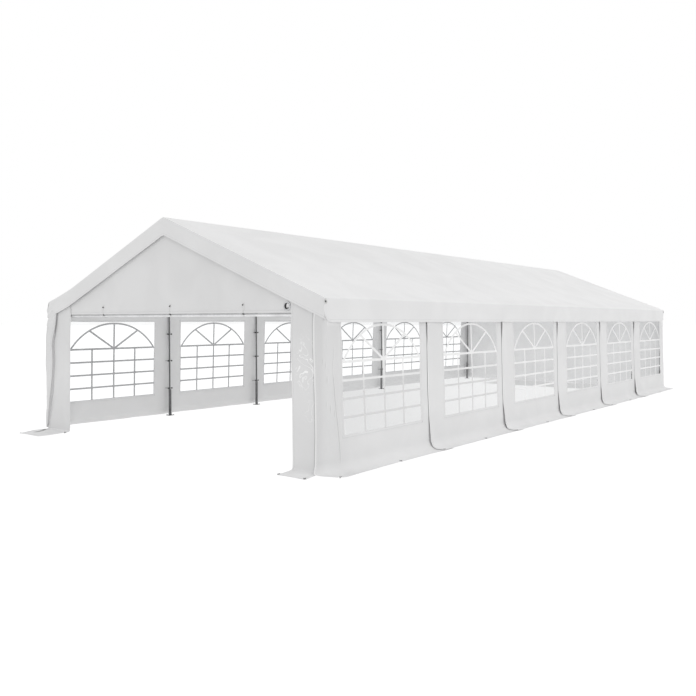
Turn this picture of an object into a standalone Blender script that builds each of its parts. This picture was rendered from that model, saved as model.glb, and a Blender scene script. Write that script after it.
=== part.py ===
"""White party marquee: a bolted steel tube frame of six bays under one fabric roof, with window walls.

Metres, +Z up. The origin is on the ground at the middle of the plan. The open gable end faces -Y and
the long sides face -X and +X. Each sheet of fabric is a thin closed solid with the true outer shape,
and the sheets lap over each other like shingles, so that every loose edge is where the real one is.
"""

import math

import bmesh
import bpy
from mathutils import Matrix, Vector

# Driving dimensions.
WIDTH = 5.0  # between the lines of posts
BAY = 2.0
BAYS = 6
EAVE_HEIGHT = 1.80  # outer edge of the roof
RIDGE_HEIGHT = 2.825
OVERHANG = 0.05  # roof fabric outside the lines of posts
VALANCE_DROP = 0.22

TUBE_RADIUS = 0.019
SOCKET_RADIUS = 0.0225
SOCKET_LENGTH = 0.14
SLEEVE_HALF = 0.08
TIE_HEIGHT = 1.625
TUBE_SIDES = 12
PLATE_SIDE = 0.11
PLATE_THICKNESS = 0.004

SHEET = 0.006
GABLE_SHEET = 0.004
FILM = 0.002
GAP = 0.0003
LAP = 0.10  # how far a wall panel runs past its post
SHINGLE = 0.0075  # how far a panel's front edge stands outside the panel before it

WALL_TOP = 1.775
LEAN_START = 1.60
LEAN = 0.05  # outward lean of a wall over its height
FOOT_RADIUS = 0.12  # the bend from a wall into its ground skirt
FOOT_STEPS = 3
SKIRT_REACH = 0.30  # outer edge of the ground skirt, from the line of posts
CORNER_WRAP = 0.10  # how far a side wall wraps round onto an end
CORNER_FLAP = 0.42  # width of the flap that closes the corner of the open end

WINDOW_WIDTH = 1.46
WINDOW_BOTTOM = 0.365
WINDOW_TOP = 1.535
FILM_MARGIN = 0.035

GABLE_BOTTOM = 1.645
PORT_RADIUS = 0.05
PORT_WIDTH = 0.014
PORT_X = 2.02
PORT_Z = 1.715

# Values that follow from them.
HALF_WIDTH = WIDTH / 2
HALF_LENGTH = BAY * BAYS / 2
ROOF_HALF_WIDTH = HALF_WIDTH + OVERHANG
ROOF_HALF_LENGTH = HALF_LENGTH + OVERHANG
PITCH = math.atan2(RIDGE_HEIGHT - EAVE_HEIGHT, ROOF_HALF_WIDTH)
RIDGE_AXIS = RIDGE_HEIGHT - (SHEET + GAP + SOCKET_RADIUS) / math.cos(PITCH)
EAVE_AXIS = RIDGE_AXIS - HALF_WIDTH * math.tan(PITCH)
RAIL_HALF_LENGTH = HALF_LENGTH - 0.01
FILM_OFFSET = SOCKET_RADIUS + GAP
WALL_OFFSET = FILM_OFFSET + FILM + GAP
FLAP_STEP = FILM_OFFSET + GABLE_SHEET + 2 * GAP - WALL_OFFSET
WRAP_STEP = FLAP_STEP + SHEET + 2 * GAP
POST_LINES = [BAY * i - HALF_LENGTH for i in range(BAYS + 1)]

for old in list(bpy.data.objects):
    bpy.data.objects.remove(old, do_unlink=True)
tent = bpy.data.collections.new("marquee_tent")
cutters = bpy.data.collections.new("cutters")
bpy.context.scene.collection.children.link(tent)
bpy.context.scene.collection.children.link(cutters)


def make_material(name, colour, roughness, metallic=0.0, alpha=1.0):
    material = bpy.data.materials.new(name)
    material.use_nodes = True
    shader = material.node_tree.nodes["Principled BSDF"]
    shader.inputs["Base Color"].default_value = (*colour, 1.0)
    shader.inputs["Roughness"].default_value = roughness
    shader.inputs["Metallic"].default_value = metallic
    shader.inputs["Alpha"].default_value = alpha
    return material


galvanised = make_material("galvanised_steel", (0.45, 0.46, 0.47), 0.35, metallic=1.0)
roof_fabric = make_material("roof_fabric", (0.88, 0.88, 0.88), 0.55)
wall_fabric = make_material("wall_fabric", (0.85, 0.85, 0.85), 0.55)
window_film = make_material("window_film", (0.93, 0.95, 0.96), 0.08, alpha=0.25)
port_metal = make_material("port_steel", (0.55, 0.56, 0.58), 0.25, metallic=1.0)


def add_object(name, mesh, material, collection=tent):
    mesh.materials.append(material)
    obj = bpy.data.objects.new(name, mesh)
    collection.objects.link(obj)
    return obj


def mesh_from(bm, name):
    mesh = bpy.data.meshes.new(name)
    bm.to_mesh(mesh)
    bm.free()
    return mesh


def hide_cutter(obj):
    obj.hide_render = True
    obj.display_type = "WIRE"
    return obj


def bar(name, start, end, radius, material=galvanised, collection=tent):
    """A closed round bar from one point to another."""
    start = Vector(start)
    run = Vector(end) - start
    turn = run.to_track_quat("Z", "X").to_matrix().to_4x4()
    bm = bmesh.new()
    bmesh.ops.create_cone(
        bm,
        cap_ends=True,
        segments=TUBE_SIDES,
        radius1=radius,
        radius2=radius,
        depth=run.length,
        matrix=Matrix.Translation(start + run / 2) @ turn,
    )
    return add_object(name, mesh_from(bm, name), material, collection)


def block(name, low, high, material, collection=tent):
    """A box between two corners."""
    low = Vector(low)
    size = Vector(high) - low
    bm = bmesh.new()
    place = Matrix.Translation(low + size / 2) @ Matrix.Diagonal((*size, 1.0))
    bmesh.ops.create_cube(bm, size=1.0, matrix=place)
    return add_object(name, mesh_from(bm, name), material, collection)


def boolean(obj, other, operation):
    modifier = obj.modifiers.new(operation.lower(), "BOOLEAN")
    modifier.operation = operation
    modifier.solver = "EXACT"
    modifier.object = other


def join_bars(main, joined, bore):
    """Fuse the bars into the main one, then bore the tube's way through."""
    for obj in joined:
        boolean(main, hide_cutter(obj), "UNION")
    boolean(main, bore, "DIFFERENCE")


def sleeve_span(y):
    """The stretch of rail that a fitting holds; at an end the fitting is closed at the outer side."""
    low = y - (SOCKET_RADIUS if y == POST_LINES[0] else SLEEVE_HALF)
    high = y + (SOCKET_RADIUS if y == POST_LINES[-1] else SLEEVE_HALF)
    return low, high


def along_slope(side, y, distance):
    """The point on a rafter's axis at this distance up from the eave rail."""
    x = side * (HALF_WIDTH - distance * math.cos(PITCH))
    return Vector((x, y, EAVE_AXIS + distance * math.sin(PITCH)))


def long_bar(name, x, z, radius, half_length, collection=tent):
    return bar(name, (x, -half_length, z), (x, half_length, z), radius, collection=collection)


def build_rails():
    """Three tubes along the tent, and the slightly wider bores that the fittings hold them in."""
    bores = {}
    for name, x, z in (
        ("eave_rail_left", -HALF_WIDTH, EAVE_AXIS),
        ("eave_rail_right", HALF_WIDTH, EAVE_AXIS),
        ("ridge_tube", 0.0, RIDGE_AXIS),
    ):
        long_bar(name, x, z, TUBE_RADIUS, RAIL_HALF_LENGTH)
        bore = long_bar(f"{name}_bore", x, z, TUBE_RADIUS + GAP, RAIL_HALF_LENGTH + GAP, cutters)
        bores[name] = hide_cutter(bore)
    return bores


def build_post(name, side, y, bore):
    """A post on its base plate, with the three-way eave fitting at its top."""
    x = side * HALF_WIDTH
    half = PLATE_SIDE / 2
    plate_low = (x - half, y - half, 0.0)
    plate_high = (x + half, y + half, PLATE_THICKNESS)
    low, high = sleeve_span(y)
    post = bar(name, (x, y, PLATE_THICKNESS / 2), (x, y, EAVE_AXIS), TUBE_RADIUS)
    eave = (x, y, EAVE_AXIS)
    joined = [
        block(f"{name}_plate", plate_low, plate_high, galvanised, cutters),
        bar(f"{name}_socket", (x, y, EAVE_AXIS - SOCKET_LENGTH), eave, SOCKET_RADIUS, collection=cutters),
        bar(f"{name}_sleeve", (x, low, EAVE_AXIS), (x, high, EAVE_AXIS), SOCKET_RADIUS, collection=cutters),
        bar(f"{name}_arm", eave, along_slope(side, y, SOCKET_LENGTH), SOCKET_RADIUS, collection=cutters),
    ]
    join_bars(post, joined, bore)


def build_rafter_pair(name, y, bore):
    """Two rafters joined at the apex fitting, which holds the ridge tube."""
    full = HALF_WIDTH / math.cos(PITCH)
    apex = Vector((0.0, y, RIDGE_AXIS))
    low, high = sleeve_span(y)
    ends = {side: along_slope(side, y, SOCKET_LENGTH + GAP) for side in (-1, 1)}
    rafter = bar(name, apex, ends[-1], TUBE_RADIUS)
    joined = [
        bar(f"{name}_right", apex, ends[1], TUBE_RADIUS, collection=cutters),
        bar(f"{name}_sleeve", (0, low, RIDGE_AXIS), (0, high, RIDGE_AXIS), SOCKET_RADIUS, collection=cutters),
    ]
    for side in (-1, 1):
        end = along_slope(side, y, full - SOCKET_LENGTH)
        joined.append(bar(f"{name}_arm_{side}", apex, end, SOCKET_RADIUS, collection=cutters))
    join_bars(rafter, joined, bore)


def build_tie_bar(name, y):
    """The tube between two corner posts, just under the gable's hem."""
    reach = HALF_WIDTH - TUBE_RADIUS - GAP
    bar(name, (-reach, y, TIE_HEIGHT), (reach, y, TIE_HEIGHT), TUBE_RADIUS)


def build_frame():
    bores = build_rails()
    for number, y in enumerate(POST_LINES, 1):
        build_post(f"post_left_{number}", -1, y, bores["eave_rail_left"])
        build_post(f"post_right_{number}", 1, y, bores["eave_rail_right"])
        build_rafter_pair(f"rafter_pair_{number}", y, bores["ridge_tube"])
    build_tie_bar("tie_bar_front", -HALF_LENGTH)
    build_tie_bar("tie_bar_rear", HALF_LENGTH)


def grid_surface(columns, rows, place):
    """A grid whose corner (column, row) is moved to place(column, row)."""
    bm = bmesh.new()
    bmesh.ops.create_grid(bm, x_segments=columns, y_segments=rows, size=1.0)
    for vert in bm.verts:
        column = round((vert.co.x + 1) / 2 * columns)
        row = round((vert.co.y + 1) / 2 * rows)
        vert.co = place(column, row)
    return bm


def thicken(obj, thickness, offset):
    modifier = obj.modifiers.new("thickness", "SOLIDIFY")
    modifier.thickness = thickness
    modifier.offset = offset
    modifier.solidify_mode = "NON_MANIFOLD"
    modifier.nonmanifold_thickness_mode = "CONSTRAINTS"
    return obj


def wall_profile():
    """A wall's inner face from the skirt's outer edge up: (outward, height, normal outward, normal up)."""
    foot = WALL_OFFSET + LEAN
    points = [(SKIRT_REACH, 0.0, 0.0, 1.0)]
    for step in range(FOOT_STEPS + 1):
        turn = math.radians(90) * step / FOOT_STEPS
        out = foot + FOOT_RADIUS * (1 - math.sin(turn))
        points.append((out, FOOT_RADIUS * (1 - math.cos(turn)), math.sin(turn), math.cos(turn)))
    points.append((WALL_OFFSET, LEAN_START, 1.0, 0.0))
    points.append((WALL_OFFSET, WALL_TOP, 1.0, 0.0))
    return points


def film_profile():
    """The window film's inner face, parallel to the leaning wall."""
    points = []
    for z in (WINDOW_BOTTOM - FILM_MARGIN, WINDOW_TOP + FILM_MARGIN):
        share = (LEAN_START - z) / (LEAN_START - FOOT_RADIUS)
        points.append((FILM_OFFSET + LEAN * share, z, 1.0, 0.0))
    return points


def station(x, y, angle, step=0.0):
    """A place on a wall's plan: the point on the line of posts, the way out, and the step outward."""
    way = math.radians(angle)
    return x, y, math.cos(way), math.sin(way), step


def mirrored(path):
    """The same plan on the left side, still running anticlockwise round the tent."""
    return [(-x, y, -out_x, out_y, step) for x, y, out_x, out_y, step in reversed(path)]


def build_sheet(name, path, profile, thickness, material):
    """A sheet that follows the plan's stations, with the profile standing outward at each."""

    def place(column, row):
        x, y, out_x, out_y, step = path[column]
        out, z, normal_out, normal_up = profile[row]
        reach = out + step * normal_out
        return Vector((x + out_x * reach, y + out_y * reach, z + step * normal_up))

    bm = grid_surface(len(path) - 1, len(profile) - 1, place)
    return thicken(add_object(name, mesh_from(bm, name), material), thickness, 1.0)


def corner_path(y_sign, step):
    """The plan round a right-hand corner post, from the long side onto the end."""
    x = HALF_WIDTH
    y = y_sign * HALF_LENGTH
    path = [station(x, y, angle * y_sign, step) for angle in (0, 45, 90)]
    path.append(station(x - CORNER_WRAP, y, 90 * y_sign, step))
    return path


def side_path(bay):
    """The plan of one right-hand wall panel, front to rear."""
    front = POST_LINES[bay]
    rear = POST_LINES[bay + 1]
    if bay == 0:
        start = list(reversed(corner_path(-1, WRAP_STEP)))
    else:
        start = [station(HALF_WIDTH, front - LAP, 0, SHINGLE)]
    end = corner_path(1, WRAP_STEP) if bay == BAYS - 1 else [station(HALF_WIDTH, rear + LAP, 0)]
    return start + end


def window_cutter(name, side, bay):
    middle = POST_LINES[bay] + BAY / 2
    half = WINDOW_WIDTH / 2
    ends = sorted((side * (HALF_WIDTH - OVERHANG), side * (HALF_WIDTH + 3 * OVERHANG)))
    low = (ends[0], middle - half, WINDOW_BOTTOM)
    high = (ends[1], middle + half, WINDOW_TOP)
    return hide_cutter(block(name, low, high, wall_fabric, cutters))


def build_walls():
    for bay in range(BAYS):
        for word, side in (("left", -1), ("right", 1)):
            name = f"wall_{word}_{bay + 1}"
            path = side_path(bay)
            path = path if side > 0 else mirrored(path)
            wall = build_sheet(name, path, wall_profile(), SHEET, wall_fabric)
            boolean(wall, window_cutter(f"{name}_window", side, bay), "DIFFERENCE")
    film_end = HALF_LENGTH - (BAY - WINDOW_WIDTH) / 2 + FILM_MARGIN
    film_path = [station(HALF_WIDTH, -film_end, 0), station(HALF_WIDTH, film_end, 0)]
    build_sheet("window_film_right", film_path, film_profile(), FILM, window_film)
    build_sheet("window_film_left", mirrored(film_path), film_profile(), FILM, window_film)


def build_end_walls():
    """The closed rear wall, and the two flaps left at the open front."""
    edge = HALF_WIDTH - 0.01
    rear = [station(edge, HALF_LENGTH, 90, FLAP_STEP), station(-edge, HALF_LENGTH, 90, FLAP_STEP)]
    build_sheet("rear_wall", rear, wall_profile(), SHEET, wall_fabric)
    inner = HALF_WIDTH - CORNER_FLAP
    flap = [station(inner, -HALF_LENGTH, -90, FLAP_STEP), station(edge, -HALF_LENGTH, -90, FLAP_STEP)]
    build_sheet("corner_flap_right", flap, wall_profile(), SHEET, wall_fabric)
    build_sheet("corner_flap_left", mirrored(flap), wall_profile(), SHEET, wall_fabric)


def build_roof():
    """One sheet over both slopes, with a valance along each eave and a band along each gable edge."""
    section = [
        (ROOF_HALF_WIDTH, EAVE_HEIGHT - VALANCE_DROP),
        (ROOF_HALF_WIDTH, EAVE_HEIGHT),
        (0.0, RIDGE_HEIGHT),
        (-ROOF_HALF_WIDTH, EAVE_HEIGHT),
        (-ROOF_HALF_WIDTH, EAVE_HEIGHT - VALANCE_DROP),
    ]

    def place(column, row):
        x, z = section[row]
        return Vector((x, (2 * column - 1) * ROOF_HALF_LENGTH, z))

    bm = grid_surface(1, len(section) - 1, place)
    slope_ends = [
        edge
        for edge in bm.edges
        if edge.is_boundary and abs(edge.verts[0].co.x - edge.verts[1].co.x) > HALF_WIDTH / 2
    ]
    band = bmesh.ops.extrude_edge_only(bm, edges=slope_ends)["geom"]
    moved = [item for item in band if isinstance(item, bmesh.types.BMVert)]
    bmesh.ops.translate(bm, verts=moved, vec=(0.0, 0.0, -VALANCE_DROP))
    bmesh.ops.remove_doubles(bm, verts=bm.verts, dist=GAP / 10)
    thicken(add_object("roof_cover", mesh_from(bm, "roof_cover"), roof_fabric), SHEET, -1.0)


def build_gable(name, y_sign):
    """The triangle of fabric behind the gable band, down over the tie bar."""
    reach = HALF_WIDTH - 0.01
    clear = RIDGE_HEIGHT - (SHEET + 2 * GAP) / math.cos(PITCH)
    eave = clear - reach * math.tan(PITCH)
    outline = [(-reach, GABLE_BOTTOM), (reach, GABLE_BOTTOM), (reach, eave), (0.0, clear), (-reach, eave)]
    curve = bpy.data.curves.new(name, "CURVE")
    curve.dimensions = "2D"
    curve.fill_mode = "BOTH"
    curve.extrude = GABLE_SHEET / 2
    spline = curve.splines.new("POLY")
    spline.points.add(len(outline) - 1)
    for point, (x, z) in zip(spline.points, outline):
        point.co = (x, z, 0.0, 1.0)
    spline.use_cyclic_u = True
    curve.materials.append(wall_fabric)
    gable = bpy.data.objects.new(name, curve)
    gable.location.y = y_sign * (HALF_LENGTH + FILM_OFFSET + GABLE_SHEET / 2)
    gable.rotation_euler.x = math.radians(90)
    tent.objects.link(gable)


def build_port():
    """The round metal rim on the front gable, near its right end."""
    bm = bmesh.new()
    mesh = bpy.data.meshes.new("gable_port_rim")
    y = -HALF_LENGTH - FILM_OFFSET - GABLE_SHEET - GAP
    inner = PORT_RADIUS - PORT_WIDTH
    depth = SHEET
    corners = [(PORT_RADIUS, 0.0), (PORT_RADIUS, -depth), (inner, -depth), (inner, 0.0)]
    profile = [bm.verts.new((radius, along, 0.0)) for radius, along in corners]
    edges = [bm.edges.new((profile[i - 1], profile[i])) for i in range(len(profile))]
    bmesh.ops.spin(
        bm,
        geom=profile + edges,
        cent=(0.0, 0.0, 0.0),
        axis=(0.0, 1.0, 0.0),
        angle=math.tau,
        steps=2 * TUBE_SIDES,
        use_merge=True,
    )
    bmesh.ops.recalc_face_normals(bm, faces=bm.faces)
    bmesh.ops.translate(bm, verts=bm.verts, vec=(PORT_X, y, PORT_Z))
    bm.to_mesh(mesh)
    bm.free()
    add_object("gable_port_rim", mesh, port_metal)


build_frame()
build_walls()
build_end_walls()
build_roof()
build_gable("gable_front", -1)
build_gable("gable_rear", 1)
build_port()
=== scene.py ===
"""A white party marquee: steel tube frame, fabric roof and window walls, open at the front gable."""

import math

import bpy
import numpy as np
from mathutils import Matrix, Vector


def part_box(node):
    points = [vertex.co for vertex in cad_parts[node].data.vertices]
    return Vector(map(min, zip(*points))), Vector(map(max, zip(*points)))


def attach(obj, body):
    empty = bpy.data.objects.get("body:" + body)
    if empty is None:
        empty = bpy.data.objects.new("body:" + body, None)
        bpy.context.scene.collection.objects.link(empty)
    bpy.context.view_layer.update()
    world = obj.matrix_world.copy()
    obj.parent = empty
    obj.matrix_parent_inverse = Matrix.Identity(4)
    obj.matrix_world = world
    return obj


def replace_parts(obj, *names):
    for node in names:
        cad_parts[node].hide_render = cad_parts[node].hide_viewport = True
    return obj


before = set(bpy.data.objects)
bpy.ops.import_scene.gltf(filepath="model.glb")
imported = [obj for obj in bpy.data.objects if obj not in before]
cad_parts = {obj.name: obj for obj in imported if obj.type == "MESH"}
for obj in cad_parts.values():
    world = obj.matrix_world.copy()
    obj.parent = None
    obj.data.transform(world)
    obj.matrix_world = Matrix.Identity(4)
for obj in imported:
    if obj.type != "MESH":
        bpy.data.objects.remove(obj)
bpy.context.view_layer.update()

# The steel frame: seven pairs of posts and rafters on three long tubes, with a tie bar at each end.
# Galvanised steel tube of 38 mm, pushed into welded eave and apex fittings.
# The solids have the real shape, so they stay and get the zinc's spangle, scratches and dull shine.
rail_low, rail_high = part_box("eave_rail_right")
half_width = (rail_low.x + rail_high.x) / 2
eave_axis = (rail_low.z + rail_high.z) / 2
tube_radius = (rail_high.x - rail_low.x) / 2
front_low, front_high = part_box("tie_bar_front")
front_line = (front_low.y + front_high.y) / 2
tie_axis = (front_low.z + front_high.z) / 2
bays = 6
bay = -2 * front_line / bays
post_lines = [front_line + bay * number for number in range(bays + 1)]
# The stripe of painted shade up each post: the way it faces across the tube, where it starts and where it is
# full, and its colour.
shade_stripe_way = (0.70, -0.714, 0.0)
shade_stripe_start = 0.0125
shade_stripe_full = 0.0168
shade_stripe_colour = (0.06, 0.06, 0.062, 1.0)


def new_material(name, colour, roughness, metallic=0.0):
    material = bpy.data.materials.new(name)
    material.use_nodes = True
    shader = material.node_tree.nodes["Principled BSDF"]
    shader.inputs["Base Color"].default_value = (*colour, 1.0)
    shader.inputs["Roughness"].default_value = roughness
    shader.inputs["Metallic"].default_value = metallic
    return material, material.node_tree, shader


def node(tree, kind, **settings):
    """A shader node. Each setting is the value of one of its inputs, or else a property."""
    made = tree.nodes.new("ShaderNode" + kind)
    for key, value in settings.items():
        if key in made.inputs:
            made.inputs[key].default_value = value
        else:
            setattr(made, key, value)
    return made


def feed(tree, socket, value):
    """Links another node's output to the socket, or sets a number or a colour on it."""
    if isinstance(value, (int, float, tuple)):
        socket.default_value = value
    else:
        tree.links.new(value, socket)


def calc(tree, operation, *values):
    """The result of a sum on numbers and other nodes' outputs."""
    made = node(tree, "Math", operation=operation)
    for socket, value in zip(made.inputs, values):
        feed(tree, socket, value)
    return made.outputs["Value"]


def ramp(tree, source, low, high, first, second):
    """Colours or greys from first to second as the source goes from low to high."""
    made = node(tree, "ValToRGB")
    tree.links.new(source, made.inputs["Fac"])
    for element, place, colour in zip(made.color_ramp.elements, (low, high), (first, second)):
        element.position = place
        element.color = (*colour, 1.0) if isinstance(colour, tuple) else (colour, colour, colour, 1.0)
    return made.outputs["Color"]


def blend(tree, share, first, second, way="MIX"):
    """The share of the second colour that is mixed or multiplied into the first."""
    made = node(tree, "Mix", data_type="RGBA", blend_type=way)
    for key, value in (("Factor", share), ("A", first), ("B", second)):
        feed(tree, made.inputs[key], value)
    return made.outputs["Result"]


def pattern(tree, kind, place, **settings):
    """A texture of this kind, laid out by the place."""
    made = node(tree, "Tex" + kind, **settings)
    tree.links.new(place, made.inputs["Vector"])
    return made.outputs["Color" if kind == "Voronoi" else "Fac"]


def parts_of(tree, place):
    """The X, Y and Z of the place."""
    made = node(tree, "SeparateXYZ")
    tree.links.new(place, made.inputs["Vector"])
    return made.outputs


def along_way(tree, place, way):
    """How far the place lies along this way."""
    made = node(tree, "VectorMath", operation="DOT_PRODUCT")
    tree.links.new(place, made.inputs[0])
    made.inputs[1].default_value = way
    return made.outputs["Value"]


def bump(tree, height, strength, distance, below=None):
    """The lean of a rough surface, on top of the one below it."""
    made = node(tree, "Bump", Strength=strength, Distance=distance)
    tree.links.new(height, made.inputs["Height"])
    if below:
        tree.links.new(below, made.inputs["Normal"])
    return made.outputs["Normal"]


def painted_shade_stripe(tree, place, colour):
    """A painted dark stripe up each post, on the side that looks in and to the front: painted shade for the
    tube's shaded core.
    """
    axes = parts_of(tree, place)
    local = node(tree, "CombineXYZ")
    tree.links.new(calc(tree, "SUBTRACT", half_width, calc(tree, "ABSOLUTE", axes["X"])), local.inputs["X"])
    tree.links.new(calc(tree, "WRAP", axes["Y"], bay / 2, -bay / 2), local.inputs["Y"])
    toward = along_way(tree, local.outputs["Vector"], shade_stripe_way)
    share = ramp(tree, toward, shade_stripe_start, shade_stripe_full, 0.0, 1.0)
    return blend(tree, share, colour, shade_stripe_colour)


def galvanised_material(name, dark, light, with_shade_stripe=False):
    """Zinc: a fine spangle from the dark to the light tone, scratches, some grime, and, when asked, a stripe
    of painted shade.
    """
    material, tree, shader = new_material(name, dark, 0.4, 1.0)
    place = node(tree, "TexCoord").outputs["Object"]
    spangle = pattern(tree, "Voronoi", place, Scale=70.0)
    scratches = pattern(tree, "Noise", place, Scale=26.0, Detail=6.0, Roughness=0.7)
    grime = pattern(tree, "Noise", place, Scale=3.5, Detail=3.0)
    flecked = ramp(tree, spangle, 0.1, 0.9, dark, light)
    colour = blend(tree, 0.55, flecked, ramp(tree, grime, 0.35, 0.65, 0.72, 1.0), "MULTIPLY")
    if with_shade_stripe:
        colour = painted_shade_stripe(tree, place, colour)
    tree.links.new(colour, shader.inputs["Base Color"])
    tree.links.new(ramp(tree, scratches, 0.3, 0.7, 0.3, 0.52), shader.inputs["Roughness"])
    tree.links.new(bump(tree, scratches, 0.12, 0.0006), shader.inputs["Normal"])
    return material


# Painted light: the posts and the tie bars get lighter copies of the rails' zinc, so that they look lit.
galvanised = galvanised_material("galvanised_steel", (0.50, 0.505, 0.51), (0.60, 0.605, 0.61))
tie_bar_lit_zinc = galvanised_material("galvanised_tie_bar_painted_light", (0.74, 0.745, 0.75), (0.84, 0.845, 0.85))
post_lit_zinc = galvanised_material("galvanised_post", (0.80, 0.805, 0.81), (0.90, 0.905, 0.91), with_shade_stripe=True)
for name, cad_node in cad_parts.items():
    if name.startswith("post_"):
        cad_node.material_slots[0].material = post_lit_zinc
    if name.startswith(("eave_rail", "ridge_tube", "rafter_pair")):
        cad_node.material_slots[0].material = galvanised
    if name.startswith("tie_bar"):
        cad_node.material_slots[0].material = tie_bar_lit_zinc

# The roof cover: one sheet of white coated weave over both slopes, with a valance along each eave and a
# band along each gable edge. It is hemmed all round, stretched over the rafters and sags a little
# between them, and its hems flare a few millimetres clear of the walls.
roof_low, roof_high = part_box("roof_cover")
roof_half = roof_high.x
roof_end = roof_high.y
ridge = roof_high.z
eave = 1.80
valance = eave - roof_low.z
slope = (ridge - eave) / roof_half
pitch = math.atan(slope)
cloth = 0.0011
sheet_mid = 0.003
hem = 0.0285


def select_only(*pieces):
    """Selects these pieces and nothing else, with the first as the active one."""
    bpy.ops.object.select_all(action="DESELECT")
    for piece in pieces:
        piece.select_set(True)
    if pieces:
        bpy.context.view_layer.objects.active = pieces[0]


def flip_faces(piece):
    """Turns the piece's faces the other way out."""
    select_only(piece)
    bpy.ops.object.mode_set(mode="EDIT")
    bpy.ops.mesh.select_all(action="SELECT")
    bpy.ops.mesh.flip_normals()
    bpy.ops.object.mode_set(mode="OBJECT")


def rise(value, start, run):
    """Climbs from 0 at the start to 1 at the end of the run."""
    return np.clip((value - start) / run, 0, 1)


def fall(value, stop, run):
    """Drops from 1 to 0 over the run that leads up to the stop."""
    return np.clip((stop - value) / run, 0, 1)


def lines(*stretches):
    """Positions across a sheet: each stretch is (start, end, cells)."""
    return np.unique(np.concatenate([np.linspace(a, b, n + 1) for a, b, n in stretches]).round(6))


def shade_at(finest, seed):
    """A smooth seeded unevenness of about one unit, for a place (a, b) in metres."""
    rng = np.random.default_rng(seed)
    waves = [
        (rng.uniform(1.2, finest), rng.uniform(0, math.tau), rng.uniform(0, math.tau))
        for _ in range(9)
    ]

    def field(a, b):
        total = 0.0
        for count, turn, phase in waves:
            total = total + np.sin(count * (np.cos(turn) * a + np.sin(turn) * b) + phase) / 3.0
        return total

    return field


def grid_sheet(name, across, along, place, edge, material, **marks):
    """A hand-shaped sheet: the corner at (across, along), in metres, goes to place(across, along)."""
    select_only()
    bpy.ops.mesh.primitive_grid_add(x_subdivisions=len(across) - 1, y_subdivisions=len(along) - 1, size=2)
    piece = bpy.context.object
    piece.name = piece.data.name = name
    mesh = piece.data
    flat = np.empty(len(mesh.vertices) * 3)
    mesh.vertices.foreach_get("co", flat)
    flat = flat.reshape(-1, 3)
    a = across[np.rint((flat[:, 0] + 1) / 2 * (len(across) - 1)).astype(int)]
    b = along[np.rint((flat[:, 1] + 1) / 2 * (len(along) - 1)).astype(int)]
    mesh.vertices.foreach_set("co", np.column_stack(place(a, b)).ravel())
    corner = np.empty(len(mesh.loops), dtype=np.int32)
    mesh.loops.foreach_get("vertex_index", corner)
    mesh.uv_layers[0].data.foreach_set("uv", np.column_stack((a[corner], b[corner])).ravel())
    for label, field in (("edge", edge), *marks.items()):
        mesh.attributes.new(label, "FLOAT", "POINT").data.foreach_set("value", field(a, b))
    mesh.materials.clear()
    mesh.materials.append(material)
    mesh.update()
    return piece, a, b


def delete_faces(piece, a, b, inside):
    """Cuts out the faces whose middle, in the sheet's own metres, is inside the opening."""
    select_only(piece)
    mesh = piece.data
    for part in (*mesh.vertices, *mesh.edges):
        part.select = False
    for face in mesh.polygons:
        corners = list(face.vertices)
        face.select = bool(inside(a[corners].mean(), b[corners].mean()))
    bpy.ops.object.mode_set(mode="EDIT")
    bpy.ops.mesh.select_mode(type="FACE")
    bpy.ops.mesh.delete(type="FACE")
    bpy.ops.object.mode_set(mode="OBJECT")


def give_thickness(piece, thickness=cloth, flip=False, inner_material=0):
    """Makes the sheet as thick as the real one, with its faces turned outward first if they aren't."""
    if flip:
        flip_faces(piece)
    select_only(piece)
    solid = piece.modifiers.new("thickness", "SOLIDIFY")
    solid.thickness = thickness
    solid.offset = 0.0
    solid.material_offset = inner_material
    bpy.ops.object.modifier_apply(modifier="thickness")
    bpy.ops.object.shade_smooth_by_angle(angle=math.radians(50))


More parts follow.
